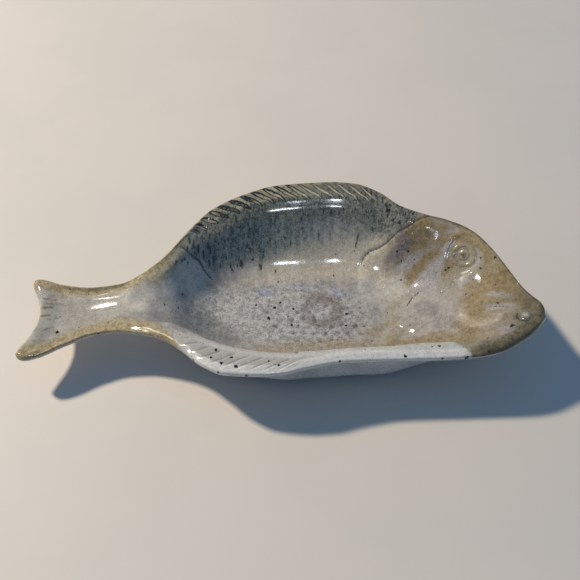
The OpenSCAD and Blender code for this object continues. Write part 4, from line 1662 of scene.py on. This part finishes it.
class FishDish:
    """The whole dish: its pieces of clay and their glazes."""

    EDGE = GlazePool("edge", (130, 110, 67), (186, 166, 119), Grain.SPECKLE, 4.0, 0.8, 0.6, 0.85)
    DARK_EDGE = GlazePool("dark_edge", (62, 56, 38), (104, 94, 66), Grain.SPECKLE, 3, 0.8, 0.5, 0.85)
    # painted light: near-white glaze laid where the tail's narrow and the bowl's end fall in shade
    MIST = GlazePool("mist", (228, 214, 194), (244, 233, 215), Grain.CLOUD, 8, 0.6, 0.8, 0.95)
    # painted shade: dark grey glaze where the inner wall beside the anal fin lies in shade
    HAZE = GlazePool("haze", (98, 99, 95), (138, 137, 131), Grain.SPECKLE, 5, 0.5, 0.6, 0.92)
    # painted light: paler glaze for the near rim's shaded outer roll
    BRINK = GlazePool("brink", (204, 199, 189), (224, 219, 209), Grain.CLOUD, 4, 0.3, 0.5, 0.95)
    RAY = GlazePool("ray", (100, 86, 62), (138, 122, 98), Grain.SPECKLE, 3, 0.9, 0.5, 0.8)
    FIN_DARK = GlazePool("fin_dark", (76, 75, 68), (122, 118, 104), Grain.SPECKLE, 4, 0.9, 0.6, 0.8)
    PUPIL = GlazePool("middle", (34, 29, 21), (92, 82, 62), Grain.SPECKLE, 1.8, 1.3, 0.4, 0.92)
    PALE_MIDDLE = GlazePool("middle", (158, 154, 144), (182, 178, 169), Grain.CLOUD, 2.0, 0.6, 0.4, 0.9)
    # ochre glaze, made paler as painted light where the far rim's shadow falls
    RUST = GlazePool("rust", (150, 132, 92), (202, 184, 146), Grain.SPECKLE, 5, 0.8, 0.6, 0.65)
    POOLS = (
        GlazePool("foam", (128, 124, 120), (198, 193, 186), Grain.SPECKLE, 6, 0.9, 0.5, 0.9),
        HAZE, MIST, RUST,
        GlazePool("beige", (190, 175, 147), (220, 207, 183), Grain.STREAK, 4.0, 0.8, 0.6, 0.85),
        GlazePool("teal", (44, 57, 57), (122, 134, 126), Grain.STREAK, 3.6, 0.8, 0.7, 0.92),
        GlazePool("khaki", (66, 69, 58), (134, 133, 114), Grain.SPECKLE, 2.6, 1.3, 0.6, 0.85),
        GlazePool("near_ochre", (138, 118, 84), (170, 156, 128), Grain.CLOUD, 6, 0.9, 0.6, 0.65),
        GlazePool("brown", (104, 91, 82), (146, 136, 127), Grain.SPECKLE, 5, 1.0, 0.6, 0.85),
        GlazePool("violet", (110, 115, 148), (160, 164, 184), Grain.SPECKLE, 3.5, 1.2, 0.45, 0.65),
        GlazePool("dimple", (78, 71, 67), (112, 104, 98), Grain.CLOUD, 3, 0.7, 0.4, 0.85),
        GlazePool("head", (134, 120, 94), (160, 148, 123), Grain.SPECKLE, 7, 0.7, 0.6, 0.85),
        GlazePool("cheek", (163, 154, 147), (186, 178, 170), Grain.SPECKLE, 7, 0.8, 0.9, 0.85),
        GlazePool("smoke", (118, 108, 101), (150, 141, 134), Grain.CLOUD, 5, 1.0, 0.8, 0.75),
        GlazePool("tan", (114, 93, 54), (150, 126, 81), Grain.SPECKLE, 6, 1.0, 0.75, 0.88),
        GlazePool("lilac", (146, 139, 138), (180, 173, 169), Grain.STREAK, 6, 1.0, 0.8, 0.8),
        GlazePool("plum", (88, 76, 76), (138, 127, 126), Grain.STREAK, 4, 1.0, 0.7, 0.85),
        GlazePool("cream", (182, 174, 160), (206, 199, 188), Grain.CLOUD, 5, 0.8, 0.7, 0.8),
        GlazePool("snout", (80, 72, 46), (118, 106, 76), Grain.SPECKLE, 8, 0.8, 0.7, 0.85),
        GlazePool("white", (180, 176, 167), (204, 200, 191), Grain.CLOUD, 5, 0.6, 0.6, 0.95),
        BRINK,
    )
    # each larger speck's place across and down the picture, and its size
    TAIL_SPECKS = ((58, 332, 1.1), (99, 333, .5), (70, 289, .45), (88, 294, .4))
    BOWL_SPECKS = (
        (512, 326, 1.3), (466, 358, 1.1), (296, 352, 1.0), (292, 353, .4), (405, 356, .85), (389, 364, .6),
        (367, 368, .6), (275, 308, 1.0), (268, 318, 1.1), (292, 325, .9), (256, 305, .7), (281, 303, .7),
        (293, 309, .7), (347, 314, .95), (346, 325, .8), (234, 342, .8), (494, 257, .8), (481, 258, .6),
        (498, 303, .65), (465, 340, .7), (488, 338, .75), (489, 352, .7), (388, 210, 1.1), (397, 252, .6),
        (408, 251, .6), (446, 271, .7), (448, 267, .7), (540, 316, .65), (460, 280, .5), (473, 279, .45),
        (466, 294, .5), (495, 285, .4), (440, 346, .8), (179, 308, .5), (443, 359, .6))
    ANAL_SPECKS = (
        (193, 360, .7), (218, 372, .65), (222, 363, .85), (232, 357, .75), (236, 366, .95), (216, 350, .85),
        (245, 376, .65), (248, 376, .5), (269, 361, .55), (276, 365, .5), (296, 352, 1.0), (292, 353, .4))

    def __init__(self) -> None:
        """Take the form from the frame and roll out the clay."""
        self.form = FishForm.from_frame()
        self.sheet = self.form.sheet()

    def glazes(self) -> dict[str, StonewareGlaze]:
        """Mix the glazes of the pieces that are cut from the sheet.

        Returns:
            Each piece's glaze by its node.
        """
        settle = GlazeMap(self.sheet).settle
        return {
            "tail": StonewareGlaze(
                "tail_glaze", ground=(184, 176, 162), shade=(152, 144, 132),
                pools=(self.HAZE, self.MIST, self.RUST, self.RAY, self.EDGE), spots=settle(self.TAIL_SPECKS)),
            "bowl": StonewareGlaze(
                "bowl_glaze", ground=(180, 172, 160), shade=(142, 136, 129),
                pools=self.POOLS + (self.EDGE, self.DARK_EDGE), fin=Side.DORSAL,
                flow=(Flow.FLECKS, Flow.MATT_EDGE), spots=settle(self.BOWL_SPECKS)),
            "dorsal_fin": StonewareGlaze(
                "dorsal_fin_glaze", ground=(166, 160, 132), shade=(114, 108, 87),
                pools=(self.FIN_DARK, self.EDGE, self.DARK_EDGE), fin=Side.DORSAL, flow=(Flow.FLECKS,)),
            "anal_fin": StonewareGlaze(
                "anal_fin_glaze", ground=(186, 181, 171), shade=(168, 163, 153),
                pools=(self.EDGE, self.BRINK), fin=Side.BELLY, spots=settle(self.ANAL_SPECKS)),
        }

    def pieces(self) -> list[ClayPiece]:
        """Divide the sheet into the dish's pieces.

        Returns:
            The tail, the bowl and the two fins.
        """
        sheet, form, glazes = self.sheet, self.form, self.glazes()
        rows, columns = (n - 1 for n in sheet.top.shape[:2])
        joint = sheet.row(form.tail_joint)
        d0, d1 = (sheet.row(s) for s in form.dorsal_fin_span)
        b0, b1 = (sheet.row(s) for s in form.anal_fin_span)
        far, near = columns - form.dorsal_steps.fin, form.belly_steps.fin
        fins = ((d0, d1, far, columns), (b0, b1, 0, near))
        blocks = (
            ("tail", (0, joint), (0, columns), ()),
            ("bowl", (joint, rows), (0, columns), fins),
            ("dorsal_fin", (d0, d1), (far, columns), ()),
            ("anal_fin", (b0, b1), (0, near), ()),
        )
        return [ClayPiece(node, glazes[node], sheet, along, over, cut, form.unit_scale)
                for node, along, over, cut in blocks]

    def sprigs(self, bowl: bpy.types.Mesh) -> list[Sprig]:
        """Prepare the small pieces that are pressed on to the head.

        Args:
            bowl: The clay that carries them.

        Returns:
            The eye's ring, its button and the nostril.
        """
        ground = BVHTree.FromPolygons([v.co for v in bowl.vertices], [p.vertices for p in bowl.polygons])
        eye = StonewareGlaze("eye_glaze", ground=(164, 152, 128), shade=(126, 113, 88), pools=(self.PUPIL,))
        nostril = StonewareGlaze("nostril_glaze", ground=(128, 124, 110), shade=(104, 100, 87),
                                 pools=(self.PALE_MIDDLE,))
        return [
            Sprig("eye_ring", eye, ground, ring=True, low=0.3),
            Sprig("eye_button", eye, ground, dent=0.1, high=0.2),
            Sprig("nostril_button", nostril, ground, high=0.17),
        ]

    def build(self) -> None:
        """Build and glaze every piece, and report each."""
        made = {piece.node: self._report(piece.build()) for piece in self.pieces()}
        for sprig in self.sprigs(made["bowl"].data):
            self._report(sprig.build())
        self._report(FootRing().build())

    @staticmethod
    def _report(made: bpy.types.Object) -> bpy.types.Object:
        """Log a finished piece and pass it on."""
        LOG.info("%s: %d faces, %s", made.name, len(made.data.polygons), made.active_material.name)
        return made


def main() -> None:
    """Build the dish on its stage."""
    logging.basicConfig(level=logging.INFO, format="%(name)s %(message)s")
    Stage().build()
    FishDish().build()


if __name__ == "__main__":
    main()
